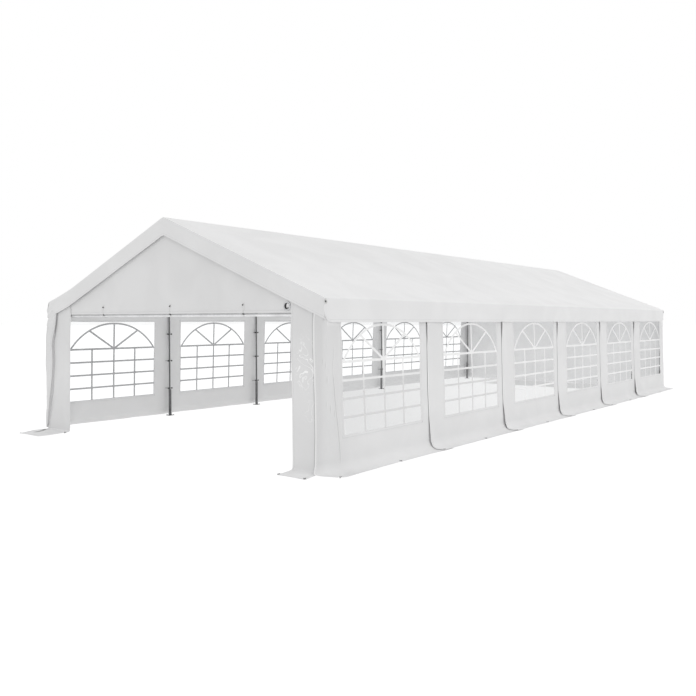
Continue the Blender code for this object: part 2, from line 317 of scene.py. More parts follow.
def fabric_material(name, colour, creases, marks="mark"):
    """Coated woven sheeting: ribbons 3 mm wide, a soft sheen, faint creases and stitched hems.

    The sheet's own values say how far a place is from an edge, how crumpled it is and where painted
    highlights fall on its kinks, and by how many fifths painted light and shade make it lighter or darker
    than the plain cloth.
    """
    material, tree, shader = new_material(name, colour, 0.5)
    shader.inputs["Sheen Weight"].default_value = 0.08
    shader.inputs["Sheen Roughness"].default_value = 0.45
    shader.inputs["Specular IOR Level"].default_value = 0.35
    coordinates = node(tree, "TexCoord")
    flat = coordinates.outputs["UV"]
    place = coordinates.outputs["Object"]
    edge, crumpled, mark = (
        node(tree, "Attribute", attribute_name=label).outputs["Fac"] for label in ("edge", "crumple", marks)
    )

    warp = pattern(tree, "Wave", flat, bands_direction="X", Scale=105.0)
    weft = pattern(tree, "Wave", flat, bands_direction="Y", Scale=105.0)
    weave = calc(tree, "MULTIPLY", warp, weft)
    broad = pattern(tree, "Noise", place, Scale=1.7, Detail=3.0, Distortion=0.6)
    crease = pattern(tree, "Noise", place, Scale=7.0, Detail=4.0, Roughness=0.62, Distortion=1.4)
    kinks = pattern(tree, "Noise", place, Scale=6.5, Detail=1.0, Distortion=1.6)
    crest = ramp(tree, calc(tree, "PINGPONG", kinks, 0.5), 0.474, 0.497, 0.0, 1.0)
    kinks_and_highlight = calc(tree, "MULTIPLY", crest, crumpled)

    seam = calc(tree, "COMPARE", edge, hem - 0.005, 0.0011)
    axes = parts_of(tree, flat)
    dash = calc(tree, "PINGPONG", calc(tree, "ADD", axes["X"], axes["Y"]), 0.0045)
    stitch = calc(tree, "MULTIPLY", seam, calc(tree, "GREATER_THAN", dash, 0.0012))

    shade = tuple(0.955 * part for part in colour)
    tone = ramp(tree, broad, 0.35, 0.65, shade, colour)
    sewn = blend(tree, stitch, tone, (0.72, 0.72, 0.73, 1.0), "MULTIPLY")
    # Painted highlight: the crests of the kinks in crumpled cloth are painted up to 45% lighter.
    painted_highlight = calc(tree, "MULTIPLY_ADD", kinks_and_highlight, 0.45, 1.0)
    whole = node(tree, "VectorMath", operation="SCALE")
    tree.links.new(sewn, whole.inputs[0])
    # Painted light and shade from the sheet's own values: each unit makes the colour a fifth lighter or
    # darker.
    tree.links.new(calc(tree, "MULTIPLY_ADD", mark, 0.2, painted_highlight), whole.inputs["Scale"])
    tree.links.new(whole.outputs["Vector"], shader.inputs["Base Color"])
    tree.links.new(ramp(tree, crease, 0.3, 0.7, 0.44, 0.58), shader.inputs["Roughness"])

    folds = bump(tree, crease, creases, 0.004)
    ribs = bump(tree, weave, 0.1, 0.0003, folds)
    kink_lean = bump(tree, kinks_and_highlight, 0.6, 0.003, ribs)
    tree.links.new(bump(tree, stitch, 0.35, 0.0006, kink_lean), shader.inputs["Normal"])
    return material


roof_fabric = fabric_material("roof_fabric", (0.87, 0.87, 0.872), 0.07)
roof_uneven = shade_at(5.0, 11)
slope_length = roof_half / math.cos(pitch)
half_section = valance + slope_length
fold = 0.022


def roof_section(run):
    """The place (x, z) on the roof's section, at this distance from the ridge, and the way out."""
    side = np.where(run < 0, -1.0, 1.0)
    far = np.abs(run)
    up_slope = np.minimum(far, slope_length)
    x = up_slope * math.cos(pitch)
    z = ridge - up_slope * math.sin(pitch)
    down = np.clip(far - slope_length, 0.0, None)
    near = np.clip(1 - np.abs(far - slope_length) / fold, 0, 1) ** 2
    crown = np.clip(1 - far / 0.045, 0, 1) ** 2
    x = x - near * 0.0045
    z = z - down - near * 0.0035 - crown * 0.006
    return side * x, z, side


# The cover's front left corner is drawn out of true at the eave: outward, forward and up. The
# valance's lower edge stands further out there. Elsewhere the valance drops, and lifts at its ends.
drawn_out = 0.04
drawn_low = 0.045
drawn_forward = 0.015
drawn_up = 0.03
valance_drop = 0.036
valance_lift = 0.095


def corner_pull(far):
    """How much of the front left corner's pull there is, by the distance from the ridge."""
    return rise(far, slope_length - 0.6, 0.6) ** 1.5


def roof_place(across, run):
    """Where the cover lies: along the tent and from the ridge over a rafter to the valance's hem."""
    x, z, side = roof_section(run)
    far = np.abs(run)
    hanging = np.clip((far - slope_length) / valance, 0, 1)
    near_end = rise(np.abs(across), roof_end - 0.11, 0.11)
    lift = 1 - np.sqrt(np.clip(1 - near_end ** 2, 0, 1))
    z = z + hanging * (valance_lift * lift - valance_drop * (1 - near_end ** 2))
    tucked = rise(np.abs(across), roof_end - 0.25, 0.2)
    x = x + side * hanging ** 1.5 * (0.006 * (1 - tucked) - 0.0045 * tucked)
    loose = hanging * fall(across, -5.72, 0.36) ** 1.5 * (side < 0)
    pulled = fall(across, -5.55, 0.5) ** 1.5 * corner_pull(far) * (side < 0)
    x = x + side * (drawn_out * pulled + drawn_low * loose)
    z = z + drawn_up * pulled
    between = 0.5 - 0.5 * np.cos(math.tau * (across - post_lines[0]) / bay)
    inside = np.clip((roof_end - 0.06 - np.abs(across)) / 0.3, 0, 1)
    sag = (0.0042 * between + 0.0012 * roof_uneven(across, run)) * inside
    on_slope = np.clip((slope_length - far) / 0.25, 0, 1) * np.clip(far / 0.2, 0, 1)
    waves = 0.0022 * roof_uneven(across * 2.2, run * 0.4 + 3) + 0.0015 * np.sin(across * 9.5)
    x = x - side * sheet_mid + side * waves * hanging * (1 - tucked)
    z = z - sheet_mid / math.cos(pitch) * (far < slope_length) - sag * on_slope
    return x, across - drawn_forward * (pulled + loose) * fall(across, -5.85, 0.2), z


def roof_edge(across, run):
    return np.minimum(half_section - np.abs(run), 1.0)


def roof_mark(across, run):
    """Painted light: the cover is painted a little lighter towards the rear and along the eaves."""
    far = np.abs(run)
    rear = np.clip((across + 2.5) / 4.5, 0, 1)
    low = np.clip((far / slope_length - 0.3) / 0.6, 0, 1)
    return (0.26 * rear + 0.2 * low * (1 - 0.6 * rear)) * (far < slope_length)


def band_place(end):
    """The band that hangs under the cover's gable edge, at the front (-1) or the rear (1)."""

    def place(run, down):
        x, z, side = roof_section(np.clip(run, -slope_length, slope_length))
        far = np.abs(run)
        share = down / valance
        tucked = rise(far, slope_length - 0.26, 0.09)
        flare = 0.006 * share ** 1.5 + 0.0016 * roof_uneven(run * 3.0, down + end) * share
        if end > 0:
            ripple = rise(far, 1.7, 0.6) * np.sin(run * 21)
            flare = flare + 0.007 * ripple * share
            z = z - 0.006 * ripple * np.clip((slope_length - far) / 0.1, 0, 1)
        flare = flare * (1 - tucked) - 0.0068 * share ** 0.8 * tucked
        turned = np.clip(far - slope_length, 0, None)
        y = end * (roof_end - sheet_mid * (down > 0) + flare - turned)
        loose = share * np.clip((far - slope_length + 0.35) / 0.35, 0, 1) ** 1.5 * (side < 0) * (end < 0)
        pulled = corner_pull(far) * (side < 0) * (end < 0)
        x = x + side * (drawn_out * pulled + drawn_low * loose)
        y = y - drawn_forward * (pulled + loose)
        z = z + drawn_up * pulled
        x = x - side * (sheet_mid + (0.0028 + 0.0045 * share) * (turned > 0))
        z = z - sheet_mid / math.cos(pitch) * (far < slope_length) - down - 0.001 * (turned > 0)
        return x, y, z

    return place


slope_lines = lines(
    (0, 0.05, 4),
    (0.05, slope_length - 0.12, 26),
    (slope_length - 0.12, slope_length - 0.03, 4),
    (slope_length - 0.03, slope_length, 5),
)
valance_lines = slope_length + lines(
    (0, 0.03, 4), (0.03, valance - hem - 0.001, 7), (valance - hem + 0.001, valance, 2)
)
run_lines = np.concatenate([slope_lines, valance_lines[1:]])
run_lines = np.concatenate([-run_lines[:0:-1], run_lines])
end_part = lines((roof_end - 0.1, roof_end - 0.02, 6), (roof_end - 0.02, roof_end, 3))
middle_part = lines((-roof_end + 0.1, roof_end - 0.1, 118))[1:-1]
across_lines = np.concatenate([-end_part[::-1], middle_part, end_part])
roof, _, _ = grid_sheet(
    "roof_cover_cloth", across_lines, run_lines, roof_place, roof_edge, roof_fabric, mark=roof_mark
)
bands = []
for end in (-1, 1):
    band_down = valance_lines - slope_length
    band_run = np.concatenate([slope_lines, slope_length + np.array([0.0012, 0.02, 0.045])])
    band_run = np.concatenate([-band_run[:0:-1], band_run])
    band, _, _ = grid_sheet(
        "roof_band", band_run, band_down, band_place(end), lambda run, down: valance - down, roof_fabric
    )
    if end > 0:
        flip_faces(band)
    bands.append(band)
select_only(roof, *bands)
bpy.ops.object.join()
bpy.ops.object.mode_set(mode="EDIT")
bpy.ops.mesh.select_all(action="SELECT")
bpy.ops.mesh.remove_doubles(threshold=0.0008)
bpy.ops.object.mode_set(mode="OBJECT")
give_thickness(roof)
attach(roof, "root")
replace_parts(roof, "roof_cover")

# The gables: a triangle of the walls' sheeting behind each gable band, held along the end rafters.
# Its lower hem hangs just over the tie bar, and three short elastic loops hold it down to the bar.
wall_fabric = fabric_material("wall_fabric", (0.83, 0.83, 0.832), 0.16)
# Painted shade: the walls' inner face is a darker copy of their cloth.
wall_lining_shaded = fabric_material("wall_lining_shaded", (0.805, 0.805, 0.807), 0.16, marks="lining_mark")
gable_low, gable_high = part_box("gable_front")
gable_half = gable_high.x
gable_out = abs((gable_low.y + gable_high.y) / 2)
gable_bottom = gable_low.z
gable_top = gable_high.z
port_hole = 0.0365


def pierce(gable):
    """Cuts the round hole of the port through the front gable."""
    low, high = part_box("gable_port_rim")
    centre = (low + high) / 2
    select_only()
    bpy.ops.mesh.primitive_cylinder_add(
        vertices=28, radius=port_hole, depth=0.1, location=centre, rotation=(math.pi / 2, 0, 0)
    )
    cutter = bpy.context.object
    cut = gable.modifiers.new("port", "BOOLEAN")
    cut.object = cutter
    cut.solver = "EXACT"
    select_only(gable)
    bpy.ops.object.modifier_apply(modifier="port")
    bpy.data.objects.remove(cutter, do_unlink=True)


def add_gable(name, end):
    uneven = shade_at(6.0, 23 + end)
    sewn = hem + 0.001
    columns = lines(
        (-gable_half, -gable_half + hem, 2),
        (-gable_half + hem, gable_half - hem, 64),
        (gable_half - hem, gable_half, 2),
    )
    rows = lines((0, (hem - 0.001), 2), (hem - 0.001, sewn, 1), (sewn, 1.0, 22))

    def place(across, share):
        top = gable_top - np.abs(across) * slope - 0.002
        low = gable_bottom + 0.0005
        above = sewn + (share - sewn) / (1 - sewn) * (top - low - sewn)
        height = np.where(share <= sewn, share, above)
        level = np.clip(height / (top - low), 0, 1)
        loose = np.sin(math.pi * np.clip(level, 0, 1)) * 0.4 + 0.6 * (1 - level)
        out = 0.0016 * uneven(across, height) * loose * np.clip((gable_half - np.abs(across)) / 0.2, 0, 1)
        out = out + 0.0007 * (height < hem)
        return across, end * (gable_out + out), low + height

    def edge(across, share):
        return share

    gable, _, _ = grid_sheet(name, columns, rows, place, edge, wall_fabric)
    give_thickness(gable, flip=end > 0)
    if end < 0:
        pierce(gable)
    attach(gable, "root")
    return gable


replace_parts(add_gable("gable_front_cloth", -1), "gable_front")
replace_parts(add_gable("gable_rear_cloth", 1), "gable_rear")

# The side walls: six panels a side, each 2.2 m wide with its front edge lapped over the panel before
# it, hung under the valance and spread at the foot into a ground skirt. The first and last panels wrap
# round the corner posts. Each has a sewn-in window, whose edge is bound with a strip of the same cloth.
tie_heights = (0.45, 0.90, 1.34)
wall_out = 0.0251
lean = 0.05
lean_top = 1.60
foot_round = 0.12
skirt_reach = 0.30
wall_top = 1.775
lap = 0.10
shingle = 0.0075
wrap_step = 0.0089
wrap = 0.10
corner_run = 0.09
window_half = 0.73
window_bottom = 0.365
window_top = 1.549
first_wider = 0.042
binding = 0.025
edge_strip = 0.016
cut_edge = 0.006
skirt_flat = skirt_reach - wall_out - lean - foot_round
bend_length = foot_round * math.pi / 2
lean_length = math.hypot(lean, lean_top - foot_round)
wall_height = skirt_flat + bend_length + lean_length + wall_top - lean_top


def up_at(z):
    """Distance up the sheet from the skirt's outer edge to this height on the wall."""
    return skirt_flat + bend_length + (z - foot_round) / (lean_top - foot_round) * lean_length


def wall_section(up):
    """The wall's line from the skirt's edge up: outward, height, and the normal's two parts."""
    turn = np.clip((up - skirt_flat) / bend_length, 0, 1) * math.pi / 2
    out = np.where(up < skirt_flat, skirt_reach - up, wall_out + lean + foot_round * (1 - np.sin(turn)))
    z = foot_round * (1 - np.cos(turn))
    share = np.clip((up - skirt_flat - bend_length) / lean_length, 0, 1)
    out = out - lean * share
    z = z + (lean_top - foot_round) * share
    z = z + np.clip(up - skirt_flat - bend_length - lean_length, 0, None)
    return out, z, np.sin(turn), np.cos(turn)


side_uneven = {1: shade_at(6.5, 41), -1: shade_at(6.5, 57)}
fine_uneven = {1: shade_at(22.0, 71), -1: shade_at(22.0, 83)}

# The creases that the first right-hand panel was packed with, as (along, height) at both ends, the
# crease's height above the cloth, and its width.
corner_folds = [
    (-5.935, 1.10, -5.835, 0.08, 0.0060, 0.011),
    (-5.90, 1.28, -5.935, 1.08, 0.0030, 0.012),
    (-6.05, 0.72, -5.90, 0.60, 0.0035, 0.012),
    (-6.10, 1.20, -6.00, 1.05, 0.0030, 0.010),
    (-6.06, 0.98, -5.97, 0.93, 0.0025, 0.009),
]


def creases_near(along, z):
    """Each old crease: its height and width, how far aside a place lies, and how strong it is there."""
    for a, z_a, b, z_b, height, width in corner_folds:
        run = np.hypot(b - a, z_b - z_a)
        share = ((along - a) * (b - a) + (z - z_a) * (z_b - z_a)) / run ** 2
        aside = ((along - a) * (z_b - z_a) - (z - z_a) * (b - a)) / run
        yield height, width, aside, rise(share, 0, 0.15) * fall(share, 1, 0.12)


def folds_at(along, z):
    """How far the cloth stands up at the creases, and dips beside them."""
    total = along * 0.0
    for height, width, aside, strength in creases_near(along, z):
        crest = np.exp(-(aside / width) ** 2)
        dip = 0.4 * np.exp(-((aside + 1.7 * width) / width) ** 2)
        total = total + height * strength * (crest - dip)
    return total


def fold_marks(along, z):
    """Painted highlight on the crest of an old crease and painted shade in its foot."""
    total = along * 0.0
    for height, width, aside, strength in creases_near(along, z):
        pale = 0.9 * np.exp(-((aside + 0.009) / 0.005) ** 2)
        dark = 1.6 * np.exp(-(aside / 0.0045) ** 2)
        total = total + height / 0.006 * strength * (pale - dark)
    return total


def wall_push(side, along, up):
    """How far the cloth stands off its taut line: slack, pull of the ties, creases, and the skirt's waves."""
    out, z, _, _ = wall_section(up)
    free = rise(z, 0.12, 0.3) * fall(z, 1.6, 0.25)
    from_post = np.abs((along - post_lines[0] + bay / 2) % bay - bay / 2)
    middle = np.clip(from_post / 0.35, 0, 1)
    push = free * (0.003 * side_uneven[side](along, z) + 0.0035 * middle)
    for height in tie_heights:
        pulled = np.exp(-((z - height) / 0.10) ** 2) * np.clip(1 - from_post / 0.30, 0, 1)
        push = push + 0.0022 * pulled * np.cos((z - height) * 30) * np.clip(from_post / 0.05, 0, 1)
    push = push + 0.0012 * free * fine_uneven[side](along, z) * np.clip(1 - from_post / 0.5, 0, 1)
    low = fall(z, 0.16, 0.16) * np.clip(out / 0.12, 0, 1)
    pegged = np.abs(np.sin((along - post_lines[0]) / bay * math.tau))
    push = push + low * (0.0005 + 0.0035 * pegged * (0.6 + 0.4 * side_uneven[side](along * 3, up)))
    if side > 0:
        push = push + folds_at(along, z)
    return push


def wall_point(side, along, up, proud, swell=0.0):
    """A point on a side wall. Along is the run by the posts, and past the ends it turns the corners."""
    past = np.clip(np.abs(along) - post_lines[-1], 0, None)
    way = np.sign(along)
    angle = way * np.clip(past / corner_run, 0, 1) * math.pi / 2
    back = np.clip(past - corner_run, 0, None)
    out, z, normal_out, normal_up = wall_section(up)
    longer = 0.0
    if side > 0:
        first_bay = fall(along, post_lines[0] + 0.9, 0.9)
        longer = 0.105 * first_bay * np.clip(1 - np.abs(angle) / 0.7, 0, 1)
        longer = longer + 0.09 * np.exp(-((angle + 0.2) / 0.16) ** 2)
    cut = 1 - (0.12 * np.sin(2 * np.abs(angle)) - longer) * rise(out, 0.1, 0.2)
    reach = (out + (proud + swell) * normal_out) * cut
    x = half_width - back + np.cos(angle) * reach
    y = np.clip(along, post_lines[0], post_lines[-1]) + np.sin(angle) * reach
    return side * x, y, z + proud * normal_up


def panel_step(number, along, front, rear):
    """How far the panel stands out of its neighbour, from its front edge to its rear one."""
    if number == 1:
        return wrap_step * np.clip((rear - along) / (rear - post_lines[0]), 0, 1)
    if number == bays:
        return shingle + (wrap_step - shingle) * np.clip((along - front) / (post_lines[-1] - front), 0, 1)
    return shingle * (rear - along) / (rear - front)


def front_lift(number, along, front, up, side):
    """The loose front edge gapes under the valance and at the foot, and lies close between them."""
    _, z, _, _ = wall_section(up)
    if number == 1:
        edge = np.clip(1 - (along - front) / 0.035, 0, 1) ** 1.5
        return (0.013 if side > 0 else 0.007) * edge * fall(z, 1.66, 0.1) * np.clip(z / 0.05, 0, 1)
    share = np.clip(1 - (along - front) / 0.11, 0, 1) ** 1.6
    amount = 0.5 + 0.5 * math.sin(number * 2.1 + side)
    under_valance = fall(z, 1.6, 0.05) * rise(z, 1.28, 0.25)
    at_foot = fall(z, 0.40, 0.28) * np.clip(z / 0.06, 0, 1)
    lift = (0.015 + 0.009 * amount) * (0.5 * under_valance + at_foot)
    pressed = fall(z, 1.45, 0.2) * rise(z, 0.25, 0.2)
    return share * (lift - 0.0048 * pressed)


# At the front left corner, by height: how far the wrapped end has slipped back, and how far the
# loose cloth stands out from the post.
left_corner = [
    (0.0, 0.21, 0.12),
    (0.015, 0.15, 0.12),
    (0.18, 0.14, 0.112),
    (0.30, 0.12, 0.086),
    (0.45, 0.12, 0.09),
    (0.60, 0.11, 0.09),
    (0.77, 0.09, 0.085),
    (0.97, 0.07, 0.095),
    (1.10, 0.08, 0.095),
    (1.23, 0.10, 0.105),
    (1.37, 0.06, 0.095),
    (1.52, 0.02, 0.09),
    (1.60, 0.02, 0.07),
    (1.66, 0.02, 0.05),
    (1.74, 0.0, 0.01),
]


def corner_shift(number, along, front, first, up, side):
    """How far the first panel's wrapped end has slipped back at its post, and how far it stands out."""
    if number > 1:
        return along, 0.0
    out, z, _, _ = wall_section(up)
    share = np.clip((first - along) / (first - front), 0, 1)
    if side > 0:
        spread = rise(out, 0.08, 0.22)
        slack = 0.16 * spread + 0.066 * fall(z, 1.5, 1.1) * (1 - spread)
        return along + slack * share, 0.0
    heights, slacks, swells = zip(*left_corner)
    slack = np.interp(z, heights, slacks)
    swell = np.interp(z, heights, swells)
    start = -5.70 - 0.10 * rise(z, 1.42, 0.1)
    held = 0.1 + 0.25 * fall(z, 0.6, 0.3)
    freed = held + (1 - held) * rise(along, front, 0.09) ** 0.8
    return along + slack * share, swell * fall(along, start, 0.22) * freed


def panel_ends(number):
    """The panel's front and rear edges. The first and last panels run on round the corner posts."""
    first, last = post_lines[number - 1], post_lines[number]
    front = first - lap if number > 1 else first - corner_run - wrap
    rear = last + lap if number < bays else last + corner_run + wrap
    return front, rear


def window_span(number):
    """The first panel's window is a little wider, towards the corner."""
    middle = (post_lines[number - 1] + post_lines[number]) / 2
    return middle - window_half - first_wider * (number == 1), middle + window_half


def add_wall(side, number):
    word = "right" if side > 0 else "left"
    first, last = post_lines[number - 1], post_lines[number]
    front, rear = panel_ends(number)
    window_front, window_rear = window_span(number)
    fine = [
        (front, front + edge_strip, 2),
        (front + edge_strip, front + hem - 0.001, 1),
        (front + hem + 0.001, front + 0.16, 7),
    ]
    if number == 1:
        fine = [
            (front, front + hem - 0.001, 2),
            (front + hem + 0.001, front + wrap, 3),
            (front + wrap, first, 12),
            (first, first + 0.2, 44),
        ]
    rear_fine = [(rear - 0.10, rear - hem - 0.001, 3), (rear - hem + 0.001, rear, 2)]
    lap_line = last - lap
    lap_fine = [
        (window_rear + binding + 0.001, lap_line - 0.022, 2),
        (lap_line - 0.022, lap_line + 0.014, 6),
        (lap_line + 0.014, last, 2),
    ]
    if number == bays:
        rear_fine = [
            (last - 0.05, last, 2),
            (last, last + corner_run, 9),
            (last + corner_run, rear - hem - 0.001, 3),
            (rear - hem + 0.001, rear, 2),
        ]
        lap_fine = [(window_rear + binding + 0.001, last - 0.05, 3)]
    along = lines(
        *fine,
        (fine[-1][1], window_front - binding - 0.001, 4),
        (window_front - binding + 0.001, window_front, 1),
        (window_front, window_rear, 30),
        (window_rear, window_rear + binding - 0.001, 1),
        *lap_fine,
        *rear_fine,
    )
    up = lines(
        (0, hem - 0.001, 2),
        (hem + 0.001, skirt_flat, 3),
        (skirt_flat, skirt_flat + bend_length, 8),
        (skirt_flat + bend_length, up_at(window_bottom - binding) - 0.001, 6),
        (up_at(window_bottom - binding) + 0.001, up_at(window_bottom), 1),
        (up_at(window_bottom), up_at(window_top), 24),
        (up_at(window_top), up_at(window_top + binding) - 0.001, 1),
        (up_at(window_top + binding) + 0.001, up_at(lean_top), 1),
        (up_at(lean_top), wall_height, 4),
    )

    def window_distance(y, s):
        aside = np.maximum(np.maximum(window_front - y, y - window_rear), 0)
        apart = np.maximum(np.maximum(s - up_at(window_top), up_at(window_bottom) - s), 0)
        return np.maximum(aside, apart)

    def edge(y, s):
        panel = np.minimum(np.minimum(y - front, rear - y), s)
        return np.minimum(panel, window_distance(y, s))

    def place(y, s):
        thick = 0.0009 * (np.minimum(np.minimum(y - front, rear - y), s) < hem)
        thick = thick + 0.0009 * (window_distance(y, s) < binding)
        lift = front_lift(number, y, front, s, side)
        shifted, swell = corner_shift(number, y, front, first, s, side)
        proud = sheet_mid + wall_push(side, shifted, s) + panel_step(number, shifted, front, rear) + thick
        return wall_point(side, shifted, s, proud + lift, swell)

    def mark(y, s):
        """Painted light and shade: lighter under the valance and on the edge strip, darker in the shade of
        the next panel's lap.
        """
        z = wall_section(s)[1]
        total = 0.7 * rise(z, 1.535, 0.012)
        if number < bays:
            depth = 1.2 + 2.6 * rise(z, 0.2, 0.15)
            total = total - depth * np.exp(-((y - (lap_line - 0.004)) / 0.008) ** 2)
        if number > 1:
            return total + 1.3 * (y < front + edge_strip)
        total = total * (y > first)
        if side < 0:
            # Painted shadow: a dark line along the left wrapped end's loose edge.
            return total - 2.2 * (y < front + cut_edge)
        # Painted shade past the right corner post, painted light and shade on the old creases, and a painted
        # highlight on the wrapped end's loose edge.
        painted_corner_shade = -0.34 * fall(y, first + 0.34, 0.2) * (y > front + 0.02)
        return total + painted_corner_shade + fold_marks(y, z) + 0.9 * (y < front + cut_edge)

    def lining_mark(y, s):
        """Painted shade: the inner face is darker where it turns out over the ground."""
        return -0.5 * fall(wall_section(s)[1], 0.12, 0.08)

    wall, y, s = grid_sheet(
        f"wall_{word}_{number}_cloth", along, up, place, edge, wall_fabric, mark=mark, lining_mark=lining_mark
    )
    low, high = up_at(window_bottom), up_at(window_top)
    delete_faces(wall, y, s, lambda a, b: window_front < a < window_rear and low < b < high)
    wall.data.materials.append(wall_lining_shaded)
    give_thickness(wall, flip=side < 0, inner_material=1)
    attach(wall, "root")
    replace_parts(wall, f"wall_{word}_{number}")


for number in range(1, bays + 1):
    for side in (1, -1):
        add_wall(side, number)

# The windows: in each panel a pane of clear film with an arch of white bars welded onto its outer
# face. Sixteen small lights stand under four that fan out beneath the arch. The bars' backs are grey,
# and the film has a faint tint, its own gloss and the slight waves of soft sheet.
bar = 0.025
side_bar = 0.005
sill_bar = 0.004
spring_low = 1.119
spring_high = 1.146
arch_rise = 0.399
arch_turn = 0.8673
spoke = 0.0135
spoke_slope = 0.667
top_strip = 0.004
corner_round = 0.010


def rounded(points, radius):
    """The same outline with each sharp corner turned in a small curve."""
    made = []
    count = len(points)
    for index, corner in enumerate(points):
        before = np.array(points[index - 1]) - corner
        after = np.array(points[(index + 1) % count]) - corner
        before_length, after_length = np.linalg.norm(before), np.linalg.norm(after)
        straight = -(before @ after) / (before_length * after_length)
        if straight > 0.9:
            made.append(tuple(corner))
            continue
        start = corner + before / before_length * min(radius, before_length / 2)
        finish = corner + after / after_length * min(radius, after_length / 2)
        for share in (0, 0.33, 0.67, 1):
            turned = 2 * share * (1 - share) * np.array(corner)
            point = (1 - share) ** 2 * start + turned + share ** 2 * finish
            made.append(tuple(point))
    return made


def arch_height(a, inset):
    """The arch is part of a circle whose middle lies below the sill of the fan."""
    centre = (spring_low + spring_high) / 2
    radius = arch_turn - inset
    return centre + arch_rise - arch_turn + np.sqrt(radius ** 2 - a ** 2)


def lattice_outlines():
    """The bars' outer edge and the openings between them, about the window's middle and its height."""
    centre = (spring_low + spring_high) / 2
    outer = [(-window_half, window_bottom), (window_half, window_bottom)]
    outer += [(a, float(arch_height(a, 0.0))) for a in np.linspace(window_half, -window_half, 41)]
    top = window_top + 0.002
    under = top - top_strip
    strip = [(-window_half, under), (window_half, under), (window_half, top), (-window_half, top)]
    outlines = [outer, strip]
    pane_width = (2 * window_half - 2 * side_bar - 3 * bar) / 4
    low = window_bottom + sill_bar
    pane_height = (spring_low - low - 3 * bar) / 4
    for column in range(4):
        for row in range(4):
            left = -window_half + side_bar + column * (pane_width + bar)
            base = low + row * (pane_height + bar)
            right, head = left + pane_width, base + pane_height
            box = [(left, base), (right, base), (right, head), (left, head)]
            outlines.append(rounded([np.array(point) for point in box], corner_round))
    reach = np.linspace(0, window_half - side_bar, 3001)
    under_arch = arch_height(reach, bar)
    offset = spoke * math.hypot(1, spoke_slope)
    foot = reach[np.argmax(under_arch < spring_high)]
    under_spoke = reach[np.argmax(under_arch < centre + spoke_slope * reach - offset)]
    over_spoke = reach[np.argmax(under_arch < centre + spoke_slope * reach + offset)]
    low_light = [((spring_high - centre + offset) / spoke_slope, spring_high)]
    low_light += [(a, float(arch_height(a, bar))) for a in np.linspace(foot, under_spoke, 14)]
    high_light = [(spoke, centre + spoke_slope * spoke + offset)]
    high_light += [(a, float(arch_height(a, bar))) for a in np.linspace(over_spoke, spoke, 14)]
    for light in (low_light, high_light):
        soft = rounded([np.array(point) for point in light], corner_round)
        outlines.append(soft)
        outlines.append([(-a, b) for a, b in reversed(soft)])
    return outlines


def make_lattice():
    """The flat lattice, cut into short pieces so that it can follow the wall's waves."""
    curve = bpy.data.curves.new("lattice", "CURVE")
    curve.dimensions = "2D"
    curve.fill_mode = "BOTH"
    for outline in lattice_outlines():
        spline = curve.splines.new("POLY")
        spline.points.add(len(outline) - 1)
        for point, (a, b) in zip(spline.points, outline):
            point.co = (a, b, 0.0, 1.0)
        spline.use_cyclic_u = True
    lattice = bpy.data.objects.new("lattice", curve)
    bpy.context.scene.collection.objects.link(lattice)
    select_only(lattice)
    bpy.ops.object.convert(target="MESH")
    lattice = bpy.context.object
    bpy.ops.object.mode_set(mode="EDIT")
    for cut in np.arange(-0.65, 0.66, 0.1):
        bpy.ops.mesh.select_all(action="SELECT")
        bpy.ops.mesh.bisect(plane_co=(cut, 0, 0), plane_no=(1, 0, 0))
    for cut in np.arange(0.45, 1.5, 0.1):
        bpy.ops.mesh.select_all(action="SELECT")
        bpy.ops.mesh.bisect(plane_co=(0, cut, 0), plane_no=(0, 1, 0))
    bpy.ops.mesh.select_all(action="SELECT")
    bpy.ops.mesh.remove_doubles(threshold=0.0002)
    bpy.ops.mesh.normals_make_consistent(inside=False)
    bpy.ops.object.mode_set(mode="OBJECT")
    return lattice


def film_material():
    """Clear soft film: a slight tint, and more gloss the more it is seen from the side."""
    material, tree, shader = new_material("window_film", (0.8, 0.81, 0.82), 0.07)
    tree.nodes.remove(shader)
    clear = node(tree, "BsdfTransparent", Color=(0.985, 0.987, 0.988, 1.0))
    gloss = node(tree, "BsdfAnisotropic", Color=(0.95, 0.95, 0.95, 1.0), Roughness=0.06)
    place = node(tree, "TexCoord").outputs["Object"]
    waves = pattern(tree, "Noise", place, Scale=3.0, Detail=2.0, Distortion=1.0)
    tree.links.new(bump(tree, waves, 0.1, 0.01), gloss.inputs["Normal"])
    steep = calc(tree, "POWER", node(tree, "LayerWeight", Blend=0.5).outputs["Facing"], 3.0)
    both = node(tree, "MixShader")
    tree.links.new(calc(tree, "MULTIPLY_ADD", steep, 0.07, 0.02), both.inputs["Fac"])
    tree.links.new(clear.outputs["BSDF"], both.inputs[1])
    tree.links.new(gloss.outputs["BSDF"], both.inputs[2])
    tree.links.new(both.outputs["Shader"], tree.nodes["Material Output"].inputs["Surface"])
    return material


def map_range(tree, source, low, high, first, second, way="LINEAR"):
    """Goes from first to second as the source goes from low to high."""
    made = node(tree, "MapRange", interpolation_type=way)
    keys = ("Value", "From Min", "From Max", "To Min", "To Max")
    for key, value in zip(keys, (source, low, high, first, second)):
        feed(tree, made.inputs[key], value)
    return made.outputs["Result"]


